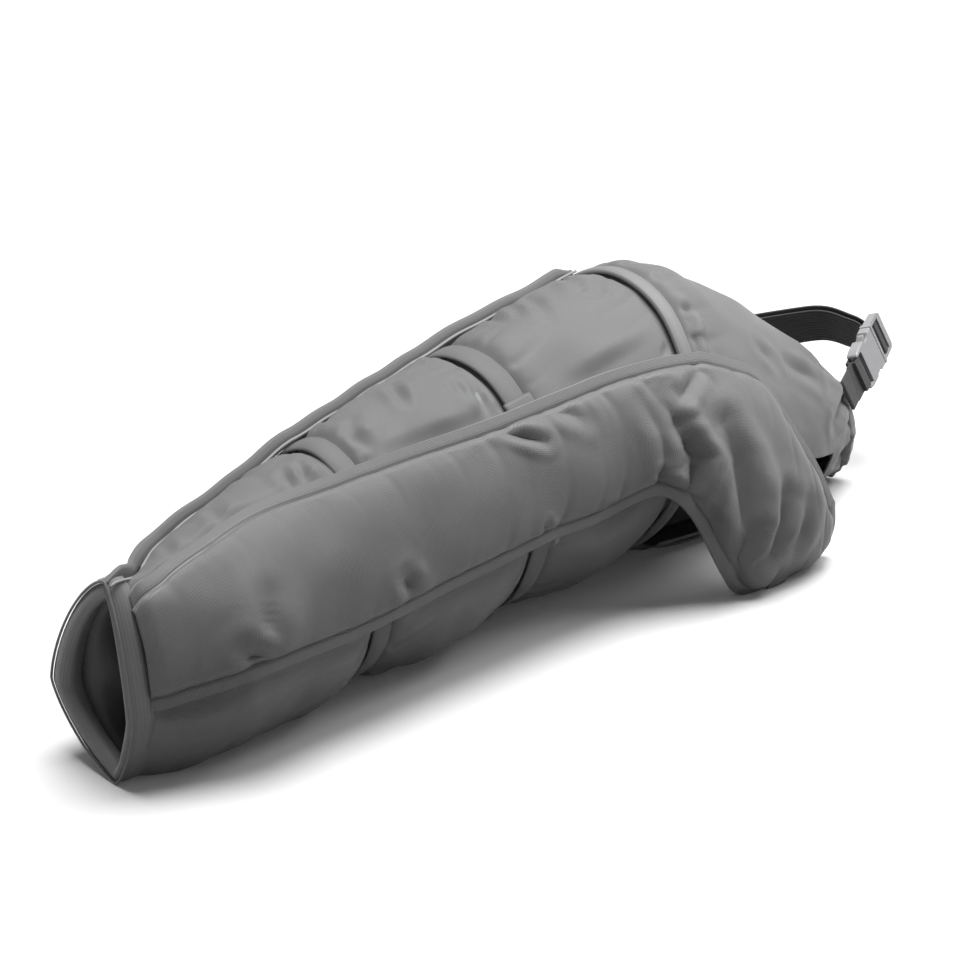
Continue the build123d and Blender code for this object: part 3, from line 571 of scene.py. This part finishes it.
# the three cells round the arm
cells = {
    "forearm": {"start": -422, "end": -205.5, "seed": 3, "puff": 4.2, "node": "forearm_cover"},
    "elbow": {"start": -179, "end": -32.5, "seed": 11, "puff": 4.6, "node": "elbow_cover"},
    "upperArm": {"start": -6, "end": 121, "seed": 23, "puff": 4.4, "node": "upper_arm_cover"},
}
cellCloth = {
    "pastEnds": 12, "spacing": 2.0, "columns": 330,
    "land": 6.0, "roundEnd": 15.0, "puffRise": 60, "puffFade": 22, "tuck": 2.4, "tuckLength": 3.5,
    # fuller on the open underside: degrees where it starts and stops, longer round, extra puff
    "below": (75, 115, 150, 175), "belowRound": 13.0, "belowPuff": 0.45,
    "gather": {"height": 2.3, "rise": 6, "fade": 19, "size": 33},
    "seam": {"turn": 30, "until": -332, "groove": 3.6, "wide": 7, "height": 2.2, "rise": (3, 9), "fade": 22,
             "size": 36, "sides": 0.2},
    "uneven": ((1.5, 110), (0.5, 42)), "foldDepth": 1.5, "foldsFrom": 12, "underFlap": -0.3,
    "wristRise": (-418, -385), "wristOut": 0.2,
    "folds": [
        ([(38, -29), (22, -7)], 5, 2.0), ([(110, -30), (83, 6)], 6, 2.4), ([(59, -14), (42, 10)], 6, 2.0),
        ([(63, -30), (33, -2)], 5, 1.5), ([(103, 3), (88, 11)], 5, 1.6),
        ([(-103, -4), (-113, 12)], 5, 2.6), ([(-56, 14), (-60, 23)], 5, 2.4),
        ([(-43, 15), (-48, 30), (-53, 40)], 5, 3.0), ([(-238, 4), (-241, 22)], 5, 2.0),
        ([(-222, 6), (-232, 20)], 4, 3.0), ([(-172, 6), (-166, 18)], 6, 2.6),
        ([(-160, 1), (-166, 15)], 6, 1.6), ([(-300, -10), (-310, 10)], 6, 1.6),
        ([(-350, -12), (-356, 6)], 5, 1.4),
    ],
}


def seamAngle(x):
    # the top seam runs over to the far side at the wrist
    seam = cellCloth["seam"]
    return -np.radians(seam["turn"]) * ease(sleeve["wristX"], seam["until"], x)


def cellCover(name):
    c, k = cells[name], cellCloth
    atWrist = name == "forearm"
    first = c["start"] if atWrist else c["start"] - k["pastEnds"]
    last = c["end"] + k["pastEnds"]
    x = np.linspace(first, last, int((last - first) / k["spacing"]))[:, None]
    angle = roundForm(k["columns"])[None] + seamAngle(x)
    form = bodyForm(x)
    girth = (angle - seamAngle(x)) * 0.5 * (form[1] + form[7])
    seam = np.abs(girth)
    fromStart = 500 if atWrist else x - c["start"]   # the wrist end has no strap
    fromEnd = c["end"] - x
    degrees = np.degrees(angle)
    below = ease(*k["below"][:2], degrees) * (1 - ease(*k["below"][2:], degrees))
    reach = k["roundEnd"] + k["belowRound"] * below
    out = c["puff"] * (1 + k["belowPuff"] * below) * ease(0, k["puffRise"], np.minimum(fromStart, fromEnd))
    out = out * (1 - np.exp(-seam / k["puffFade"]))
    g = k["gather"]
    for d, seed in ((fromStart, c["seed"]), (fromEnd, c["seed"] + 5)):
        t = np.clip(1 - np.maximum(d, 0) / reach, 0, 1)
        out = out - k["land"] * (1 - np.sqrt(1 - t * t)) - k["tuck"] * (1 - ease(-k["tuckLength"], 0, d))
        fade = ease(0, g["rise"], d) * np.exp(-np.maximum(d, 0) / g["fade"])
        out = out + g["height"] * fade * gathers(girth, d, g["size"], seed)
    g = k["seam"]
    out = out - g["groove"] * np.exp(-(seam / g["wide"]) ** 2)
    sides = 1 + g["sides"] * np.sin(np.where(girth > 0, c["seed"] + 1, c["seed"] + 9))
    fade = g["height"] * np.exp(-seam / g["fade"]) * ease(*g["rise"], seam)
    out = out + fade * gathers(x, seam, g["size"], c["seed"]) * sides
    out = out + uneven(x, girth, [(high, size, c["seed"] + n) for n, (high, size) in enumerate(k["uneven"])])
    inside = ease(0, k["foldsFrom"], np.minimum(np.maximum(fromStart, 0), np.maximum(fromEnd, 0)))
    flat = onForm(bodyForm, x, angle, 0)
    out = out + k["foldDepth"] * creases(flat, bodyForm, 0, k["folds"]) * inside
    out = flatAtInlets(flat, out)
    covered = underFlap(x, angle)
    out = out * (1 - covered) + np.minimum(out, k["underFlap"]) * covered
    if atWrist:
        out = out * ease(*k["wristRise"], x) + k["wristOut"]
    grid = onForm(bodyForm, x, angle, out)
    uv = (lengths(grid, 0), girth + 400)
    piece = clothSheet(name + "CellCover", grid, cover, wrapCols=True, uv=uv, flip=True)
    dress(piece, nodes=(c["node"],))


for name in cells:
    cellCover(name)
print("arm cells made")


# straps in the waists, the band at the shoulder
tapes = {
    "forearmStrap": {"x": -192, "width": 19, "low": -5.4, "thick": 2.2, "wobble": 0.5, "seed": 2},
    "elbowStrap": {"x": -19, "width": 19, "low": -5.4, "thick": 2.2, "wobble": 0.5, "seed": 5},
    "shoulderBand": {"x": 132, "width": 13, "low": -5.4, "thick": 3.4, "wobble": 0.3, "seed": 3},
}


def ringTape(name, material, nodes):
    look = tapes[name]
    seed, wobble, half = look["seed"], look["wobble"], look["width"] / 2
    low, side, top = look["low"], look["low"] + look["thick"] * 0.6, look["low"] + look["thick"]
    angle = roundForm(220)
    profile = [(-half, low), (-half, side), (-half + 0.9, top), (0, top + 0.25), (half - 0.9, top),
               (half, side), (half, low)]
    x = look["x"] + wobble * np.sin(3 * angle + seed) + 0.4 * wobble * np.sin(7 * angle + 2 * seed)
    ripple = 0.3 * np.sin(9 * angle + seed)
    grid = np.stack([onForm(bodyForm, x + dx, angle, out + ripple) for dx, out in profile], 1)
    ringMesh(name, grid, material, nodes)


ringTape("forearmStrap", strapTape, ("forearm_strap",))
ringTape("elbowStrap", strapTape, ("elbow_strap",))
ringTape("shoulderBand", binding, ("shoulder_band",))

patch = {"x": (-32, -6), "angle": (37, 52), "low": -2.8, "rise": 1.5, "edge": (-0.5, 1.6),
         "thick": 1.4, "halfGirth": 105}


def strapPatch():
    x = np.linspace(*patch["x"], 16)[:, None]
    angle = np.radians(np.linspace(*patch["angle"], 16))[None]
    fromEnds = np.minimum(x - patch["x"][0], patch["x"][1] - x)
    fromSides = np.minimum(angle - angle.min(), angle.max() - angle) * patch["halfGirth"]
    out = patch["low"] + patch["rise"] * ease(*patch["edge"], np.minimum(fromEnds, fromSides))
    grid = onForm(bodyForm, x, angle, out)
    piece = clothSheet("elbowStrapPatch", grid, strapTape, thick=patch["thick"], flip=True)
    dress(piece, nodes=("elbow_strap_patch",))


strapPatch()
print("straps made")


# bound seam along the top, with its piping
topSeam = {
    "start": -421, "end": 127, "height": 9.5, "sunk": 3.5, "thick": 4.6,
    "piping": 1.2, "pipingAt": (6.4, 2.9),
    "startLow": (0.62, 16), "endLow": (0.55, 14),   # share of the height lost, over this length
    # half of the tape's section: shares of its half thickness and of its height
    "outline": [(0.6, 0), (0.62, 0.3), (1, 0.42), (1.05, 0.72), (0.85, 0.93), (0.4, 1)],
}


def topSeamBinding():
    x = np.linspace(topSeam["start"], topSeam["end"], 240)
    angle = seamAngle(x)
    normals = formNormals(bodyForm, x, angle, 0)
    wander = 0.7 * np.sin(x / 19.0) + 0.5 * np.sin(x / 8.3 + 1)
    path = onForm(bodyForm, x, angle, -topSeam["sunk"]) + normals * wander[:, None]
    path[:, 1] += 0.9 * np.sin(x / 23.0 + 2)
    side, up = pathFrames(path, normals)[1:]
    h, w = topSeam["height"] + topSeam["sunk"], topSeam["thick"] / 2
    half = [(w * a, h * b) for a, b in topSeam["outline"]]
    outline = np.array([(-a, b) for a, b in half] + half[::-1])
    (startShare, startLength), (endShare, endLength) = topSeam["startLow"], topSeam["endLow"]
    lower = 1 - startShare * (1 - ease(0, startLength, x - topSeam["start"]))
    lower = lower - endShare * (1 - ease(0, endLength, topSeam["end"] - x))
    rows = np.repeat(outline[None], len(x), 0)
    rows[..., 1] *= lower[:, None]
    tape = sweep("topSeamBinding", path, side, up, rows, strapTape, flip=True)
    dress(tape, nodes=("top_seam_binding",))
    aside, rise = topSeam["pipingAt"]
    for sign, label in ((1, "Front"), (-1, "Back")):
        cord = path + side * sign * -aside + up * rise
        cord = sweep("topSeamPiping" + label, cord, side, up, roundCord(topSeam["piping"]), piping)
        dress(cord)


topSeamBinding()


# wrist mouth: binding folded over the padded wall, lining inside
mouth = {
    # wall and cushion: mm on average, and how much thinner the near side and fuller the far side are
    "wall": (12.5, 7.5), "tape": 1.7, "depth": 17, "nose": (1.4, 0.26), "piping": 1.1,
    "cushion": (12.5, 8.0), "cushionRise": (12, 22), "cushionFade": (45, 120, 0.75),
    "groove": 5.0, "grooveAt": (11, 4),
    "liningStart": 7, "liningFine": 60, "liningInset": 12.6, "liningBlend": (60, 140),
    "cellStart": 50, "cellEnd": -212, "cellInset": (2.6, 9.4), "cellPinch": 3.4, "cellThin": 0.55,
}


def wristMouth():
    base, tape, depth = sleeve["wristX"], mouth["tape"], mouth["depth"]
    angle = roundForm(240)
    wall = mouth["wall"][0] - mouth["wall"][1] * np.sin(angle)
    mid, half = -wall / 2, wall / 2 + tape
    nose = mouth["nose"][0] + mouth["nose"][1] * wall
    profile = [(depth, tape - 1.2), (depth, tape + 0.3), (depth * 0.6, tape + 1.1), (depth * 0.3, tape + 0.8)]
    profile += [(nose - 0.2 - nose * math.cos(t) * 1.35, mid + half * math.sin(t))
                for t in np.radians([64, 45, 25, 8, -8, -25, -45, -64])]
    profile += [(depth * 0.3, -wall - tape), (depth * 0.6, -wall - tape + 0.2),
                (depth * 0.75, -wall - tape + 1.0), (depth * 0.8, -wall + 0.5)]
    x, ripple = base + 0.8 * np.sin(2 * angle + 1), 0.4 * np.sin(5 * angle)
    grid = np.stack([onForm(bodyForm, x + dx, angle, out + ripple) for dx, out in profile], 1)
    ringMesh("wristBinding", grid, binding, ("wrist_binding",))
    rim = onForm(bodyForm, base - 0.4, angle, tape + 0.9)
    normals = formNormals(bodyForm, np.full(240, base + 1.0), angle, 0)
    side, up = pathFrames(rim, normals, closed=True)[1:]
    cord = sweep("wristPiping", rim, side, up, roundCord(mouth["piping"]), binding, closed=True)
    dress(cord)


def armLining():
    # padded just inside the mouth, then along the arm
    base, angle = sleeve["wristX"], roundForm(240)[None]
    fine = base + mouth["liningFine"]
    x = np.concatenate([np.linspace(base + mouth["liningStart"], fine, 40),
                        np.linspace(fine + 6, sleeve["armholeX"], 60)])[:, None]
    d = x - base
    wall = mouth["wall"][0] - mouth["wall"][1] * np.sin(angle)
    (risesAt, rises), (fades, faded, share) = mouth["cushionRise"], mouth["cushionFade"]
    swell = mouth["cushion"][0] - mouth["cushion"][1] * np.sin(angle)
    swell = swell * np.sqrt(np.clip((d - risesAt) / rises, 0, 1))
    swell = swell * (1 - share * ease(fades, faded, d)) * (1 + 0.15 * np.sin(3 * angle + 0.6))
    blend = ease(*mouth["liningBlend"], d)
    out = -(wall * (1 - blend) + mouth["liningInset"] * blend) - swell
    out = out + mouth["groove"] * np.exp(-((d - mouth["grooveAt"][0]) / mouth["grooveAt"][1]) ** 2)
    out = out + 1.2 * waves(x, angle * 60, 60, 5) * ease(15, 30, d)
    grid = onForm(bodyForm, x, angle, out)
    dress(clothSheet("armLining", grid, lining, wrapCols=True), nodes=("arm_lining",))


def forearmCell():
    # between cover and lining, thinner by the mouth
    base, end, (outer, inner) = sleeve["wristX"], mouth["cellEnd"], mouth["cellInset"]
    x = np.linspace(base + mouth["cellStart"], end, 60)
    x = np.concatenate([x, x[::-1]])
    onOuter = np.arange(120) < 60
    pinched = outer + mouth["cellPinch"] * (1 - ease(0, 12, end - x))
    thinned = inner * (1 - mouth["cellThin"] * ease(base + 150, base + 60, x))
    angle = roundForm(120)
    inset = np.where(onOuter, pinched, thinned)
    grid = np.stack([onForm(bodyForm, p, angle, -i) for p, i in zip(x, inset)], 1)
    ringMesh("forearmCell", grid, cellFilm, ("forearm_bladder",))


wristMouth()
armLining()
forearmCell()
print("wrist mouth made")

makeFlap()
print("flap made")


# cap of the shoulder, with its rim
cap = {
    "start": 133, "rows": 130, "columns": 340, "thick": 2.2, "window": {"from": 97, "to": 152, "stop": 345},
    "bandEdge": 141.5, "roundEnd": 17, "land": 5.3, "tuck": 2.2, "puff": 2.2, "puffRise": (50, 30),
    "gather": {"height": 3.6, "rise": (0, 7), "fade": 24, "size": 36, "seed": 4},
    "rimGather": {"height": 3.8, "rise": (4, 14), "fade": 28, "size": 32, "seed": 8},
    "rimGroove": 2.2, "rimGrooveAt": (15.5, 2.2), "uneven": ((2.0, 120, 41), (0.6, 45, 42)),
    "foldDepth": 1.8, "foldsFrom": (10, 6), "wall": 12.1, "liningThick": 1.2,
    "folds": [
        ([(148, 34), (142, 48)], 6, 3.6), ([(136, 38), (143, 54)], 5, 3.0), ([(152, 60), (147, 76)], 6, 2.5),
        ([(272, 50), (300, 53), (322, 55)], 7, 2.4), ([(232, 45), (250, 53)], 7, 2.0),
        ([(400, 50), (370, 66), (345, 80)], 7, 4.0), ([(404, 100), (376, 105)], 7, 4.0),
        ([(322, 37), (376, 39)], 9, 2.4), ([(398, 70), (378, 78)], 6, 2.6), ([(150, -40), (175, -50)], 7, 2.5),
        ([(148, -80), (180, -84)], 7, 2.5), ([(300, -60), (330, -64)], 8, 2.5),
        ([(150, -120), (172, -124)], 7, 2.5), ([(320, -100), (290, -104)], 8, 2.6)],
}
rim = {"yaw": 30.7, "at": (412, -52), "crinkle": 0.9, "crinkleSize": 26}
rimNormal = np.array([math.cos(math.radians(rim["yaw"])), math.sin(math.radians(rim["yaw"])), 0])


def rimX(angle, out):
    # where the form meets the rim's slanted plane
    x, spot = np.full(np.shape(angle), 370.0), np.array([*rim["at"], 0.0])
    for _ in range(60):
        x = x - 0.6 * ((onForm(bodyForm, x, angle, out) - spot) @ rimNormal) / rimNormal[0]
    return x


def besideWindow(rows, degrees, lastX):
    # the window below the arm stays open up to its stop
    keep = np.ones((rows, len(degrees)), bool)
    keep[:, degrees > cap["window"]["from"]] = False
    keep[lastX > cap["window"]["stop"], :] = True
    return keep


def makeCap():
    rows, cols, until = cap["rows"], cap["columns"], cap["window"]["to"]
    angle = np.radians(np.linspace(until - 360, until, cols, endpoint=False))[None]
    degrees = np.degrees(angle[0])
    end = rimX(angle, 0)
    x = cap["start"] + np.linspace(0, 1, rows)[:, None] * (end - cap["start"])
    form = bodyForm(x)
    girth = angle * 0.5 * (form[1] + form[7])
    d, fromRim = x - cap["bandEdge"], end - x
    t = np.clip(1 - np.maximum(d, 0) / cap["roundEnd"], 0, 1)
    out = -cap["land"] * (1 - np.sqrt(1 - t * t)) - cap["tuck"] * (1 - ease(-3, 0, d))
    out = out + cap["puff"] * ease(0, cap["puffRise"][0], d) * ease(0, cap["puffRise"][1], fromRim)
    for g, away in ((cap["gather"], d), (cap["rimGather"], fromRim)):
        fade = ease(*g["rise"], away) * np.exp(-np.maximum(away, 0) / g["fade"])
        out = out + g["height"] * fade * gathers(girth, away, g["size"], g["seed"])
    out = out - cap["rimGroove"] * np.exp(-((fromRim - cap["rimGrooveAt"][0]) / cap["rimGrooveAt"][1]) ** 2)
    out = out + uneven(x, girth, cap["uneven"])
    flat = onForm(bodyForm, x, angle, 0)
    inside = ease(0, cap["foldsFrom"][0], d) * ease(0, cap["foldsFrom"][1], fromRim)
    out = flatAtInlets(flat, out + cap["foldDepth"] * creases(flat, bodyForm, 0, cap["folds"]) * inside)
    grid = onForm(bodyForm, x, angle, out)
    keep, uv = besideWindow(rows, degrees, x[:, -1]), (lengths(grid, 0), girth + 500)
    piece = clothSheet("shoulderCover", grid, cover, True, keep, thick=cap["thick"], uv=uv, flip=True)
    dress(piece, nodes=("shoulder_cover",))
    angle, rows = angle[:, ::2], 40
    x = cap["start"] + np.linspace(0, 1, rows)[:, None] * (rimX(angle, -cap["wall"]) - cap["start"])
    grid = onForm(bodyForm, x, angle, waves(x, angle * 90, 70, 9) - cap["wall"])
    keep = besideWindow(rows, degrees[::2], x[:, -1])
    piece = clothSheet("shoulderLining", grid, lining, True, keep, thick=cap["liningThick"])
    dress(piece, nodes=("shoulder_lining",))


def makeRim():
    # binding folded over the rim: (back from the rim, out from the form)
    angle = roundForm(260)
    profile = [(14, 1.2), (13, 2.0), (6, 2.0), (2, 1.8)]
    profile += [(1.5 - 3.0 * math.cos(t), -6.05 + 7.7 * math.sin(t))
                for t in np.radians([55, 25, 0, -25, -55])]
    profile += [(3, -13.6), (9, -13.8), (13, -13.6), (14, -12.8)]
    crinkle = rim["crinkle"] * waves(angle * 95, 0, rim["crinkleSize"], 3)
    columns = []
    for back, out in profile:
        share = 1.0 if back > 3 else 0.35
        columns.append(onForm(bodyForm, rimX(angle, out), angle, out + crinkle * share) - rimNormal * back)
    ringMesh("rimBinding", np.stack(columns, 1), binding, ("rim_binding",))


makeCap()
makeRim()


# bound hem under the window, and the small folded tab on the chest panel
hem = {"x": (152, 340), "bands": {"A": (143, 149), "B": (150, 156)}, "out": 1.2, "crown": 0.9, "thick": 1.2}
tab = {"x": (192, 214), "angle": (106, 114), "out": 8.0, "crown": 0.8, "thick": 1.8}


def hemAndTab():
    x = np.linspace(*hem["x"], 90)[:, None]
    out = hem["out"] + hem["crown"] * np.sin(np.linspace(0, np.pi, 6))[None]
    for label, band in hem["bands"].items():
        grid = onForm(bodyForm, x, np.radians(np.linspace(*band, 6))[None], out)
        piece = clothSheet("hemBinding" + label, grid, binding, thick=hem["thick"], flip=True)
        dress(piece, nodes=("hem_binding",) if label == "A" else ())
    x = np.linspace(*tab["x"], 14)[:, None]
    angle = np.radians(np.linspace(*tab["angle"], 10))[None]
    out = tab["out"] + tab["crown"] * np.sin(np.pi * (x - tab["x"][0]) / (tab["x"][1] - tab["x"][0]))
    piece = clothSheet("hemTab", onForm(flapForm, x, angle, out), binding, thick=tab["thick"], flip=True)
    dress(piece, nodes=("hem_tab",))


hemAndTab()
print("shoulder made")


# belt and buckle
belt = {
    # the buckle's middle and its own axes
    "middle": (459, -28, 108), "along": (0.875, 0.405, 0.266), "face": (0.31, -0.89, 0.34),
    "width": 32, "thick": 1.6, "rows": 90, "bar": (17.6, -6.7), "droop": 0.22,
    "route": [(470.5, -6, 111), (466, 6, 114), (458, 25, 117), (444, 46, 113), (422, 68, 107), (388, 88, 103),
              (350, 106, 101), (312, 118, 101), (290, 121.5, 101)],
    # the loose end lies along the outside of the strand, the root is the doubled end sewn into the rim
    "tail": {"rows": 50, "lead": 16, "apart": (5.7, 3.6), "aside": 3},
    "root": {"from": -46, "to": -70, "thick": 2.9, "narrower": 0.4},
}
along = unit(np.array(belt["along"]))
face = unit(np.array(belt["face"]) - along * np.dot(belt["face"], along))
upright = np.cross(face, along)


def onBuckle(x, y, z):
    return np.array(belt["middle"], float) + along * x + upright * y + face * z


def ribbon(name, path, across, width, thick):
    # webbing with a thicker selvedge along both sides
    travel = unit(np.gradient(path, axis=0))
    across = unit(across - travel * np.sum(across * travel, -1, keepdims=True))
    h, w = thick / 2, width / 2
    upper = [(-w, h * 0.5), (-w + 0.8, h + 0.15), (-w + 2.4, h), (0, h),
             (w - 2.4, h), (w - 0.8, h + 0.15), (w, h * 0.5)]
    outline = [(-w, -h * 0.5)] + upper + [(a, -b) for a, b in upper[:0:-1]]
    return sweep(name, path, across, np.cross(across, travel), outline, webbing)


def makeBelt():
    width, thick, rows = belt["width"], belt["thick"], belt["rows"]
    start = onBuckle(belt["bar"][0], 0, belt["bar"][1])
    path = smoothLine([start, start - face * 2] + [np.array(p, float) for p in belt["route"]], rows)
    t = np.linspace(0, 1, rows)[:, None]
    sewn = np.concatenate([0 * t, -belt["droop"] * t ** 3, 1 + 0 * t], 1)
    across = upright * (1 - t) ** 2 + sewn * (1 - (1 - t) ** 2)
    strand = ribbon("beltLong", path, across, width, thick)
    dress(strand, None, nodes=("belt_long",))
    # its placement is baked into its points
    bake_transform(strand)
    look = belt["tail"]
    n = look["rows"]
    lead = np.clip(t[:n] * rows / look["lead"], 0, 1)
    sideways = unit(across[:n])
    outward = unit(np.cross(unit(np.gradient(path, axis=0))[:n], sideways))
    lie = look["apart"][0] * (1 - lead) + look["apart"][1] * lead
    tailPath = path[:n] + outward * lie + sideways * look["aside"] * lead
    tail = ribbon("beltTail", tailPath, across[:n], width, thick)
    dress(tail, None, nodes=("belt_tail",))
    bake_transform(tail)
    look = belt["root"]
    rootPath = np.array([onBuckle(x, 0, 0.1) for x in np.linspace(look["from"], look["to"], 12)])
    across = np.repeat(upright[None], 12, 0)
    root = ribbon("beltRoot", rootPath, across, width - look["narrower"], look["thick"])
    dress(root)


makeBelt()

# pieces that keep the shape they were built with
keptPieces = (
    (bucklePlastic, ("buckle_socket", "buckle_plug", "prong_upper", "prong_lower")),
    (inletPlastic, inlets),
    (cellFilm, ("elbow_bladder", "upper_arm_bladder", "shoulder_bladder")),
    (webbing, ("belt_short", "belt_loop")),
)
for finish, names in keptPieces:
    for name in names:
        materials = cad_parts[name].data.materials
        materials.clear()
        materials.append(finish)
print("belt and buckle made")


# floor, light and camera
studio = {
    "sky": 0.15, "floorSize": 30, "floorGlow": 0.02, "floorBounce": 0.12,
    "overhead": {"toward": (0.1, 0.1, 0.99), "strength": 2.95, "spread": 32},
    "shoulderSide": {"at": (0.6, -0.3, 0.85), "aim": (0.25, 0.0, 0.1), "power": 4.2, "size": 0.5},
}
view = {"turn": -42, "height": 25, "away": 2.8, "target": (-0.0366, 0.0149, 0.110), "across": 0.810}


def seenBy(tree, otherRay):
    # 1 for the camera and one other kind of ray, 0 for the light that falls on the sleeve
    rays = node(tree, "LightPath")
    seen = node(tree, "Math", operation="MAXIMUM")
    tree.links.new(rays.outputs["Is Camera Ray"], seen.inputs[0])
    tree.links.new(rays.outputs[otherRay], seen.inputs[1])
    return seen.outputs[0]


def paperFloor():
    bpy.ops.mesh.primitive_plane_add(size=studio["floorSize"], location=(0, 0, 0))
    floor = bpy.context.object
    floor.name = "floor"
    material, tree, shader = principled("floorPaper")
    link = tree.links.new
    seen = seenBy(tree, "Is Glossy Ray")
    bounce = tinted((1, 1, 1), studio["floorBounce"])
    tone = node(tree, "MixRGB", {"Color1": bounce, "Color2": (1.0, 1.0, 1.0, 1)})
    link(seen, tone.inputs["Fac"])
    link(tone.outputs["Color"], shader.inputs["Base Color"])
    glow = node(tree, "Math", {1: studio["floorGlow"]}, operation="MULTIPLY")
    link(seen, glow.inputs[0])
    link(glow.outputs[0], shader.inputs["Emission Strength"])
    setInputs(shader, {"Roughness": 1.0, "Specular IOR Level": 0.0, "Emission Color": (1, 1, 1, 1)})
    floor.data.materials.append(material)


def paleSky():
    world = bpy.data.worlds.new("studio")
    bpy.context.scene.world = world
    world.use_nodes = True
    tree = world.node_tree
    sky = tree.nodes["Background"]
    level = node(tree, "MapRange", {"To Min": studio["sky"], "To Max": 1.0})
    tree.links.new(seenBy(tree, "Is Transmission Ray"), level.inputs["Value"])
    tree.links.new(level.outputs["Result"], sky.inputs["Strength"])
    sky.inputs["Color"].default_value = (1, 1, 1, 1)


def hang(item, place, toward):
    holder = bpy.data.objects.new(item.name, item)
    holder.location = place
    holder.rotation_euler = toward.to_track_quat("Z", "Y").to_euler()
    bpy.context.scene.collection.objects.link(holder)
    return holder


def lamps():
    sun, soft = studio["overhead"], studio["shoulderSide"]
    lamp = bpy.data.lights.new("overhead", "SUN")
    lamp.energy, lamp.angle = sun["strength"], math.radians(sun["spread"])
    hang(lamp, Vector(sun["toward"]) * 2, Vector(sun["toward"]))
    lamp = bpy.data.lights.new("shoulderSide", "AREA")
    lamp.energy, lamp.size = soft["power"], soft["size"]
    hang(lamp, Vector(soft["at"]), Vector(soft["at"]) - Vector(soft["aim"]))


def camera():
    turn, height = math.radians(view["turn"]), math.radians(view["height"])
    back = Vector((math.sin(turn) * math.cos(height), -math.cos(turn) * math.cos(height), math.sin(height)))
    lens = bpy.data.cameras.new("viewCamera")
    lens.sensor_width = 36
    lens.lens = lens.sensor_width * view["away"] / view["across"]
    bpy.context.scene.camera = hang(lens, Vector(view["target"]) + back * view["away"], back)


paperFloor()
paleSky()
lamps()
camera()
bpy.context.scene.view_settings.view_transform = "Standard"
print("floor, light and camera set")
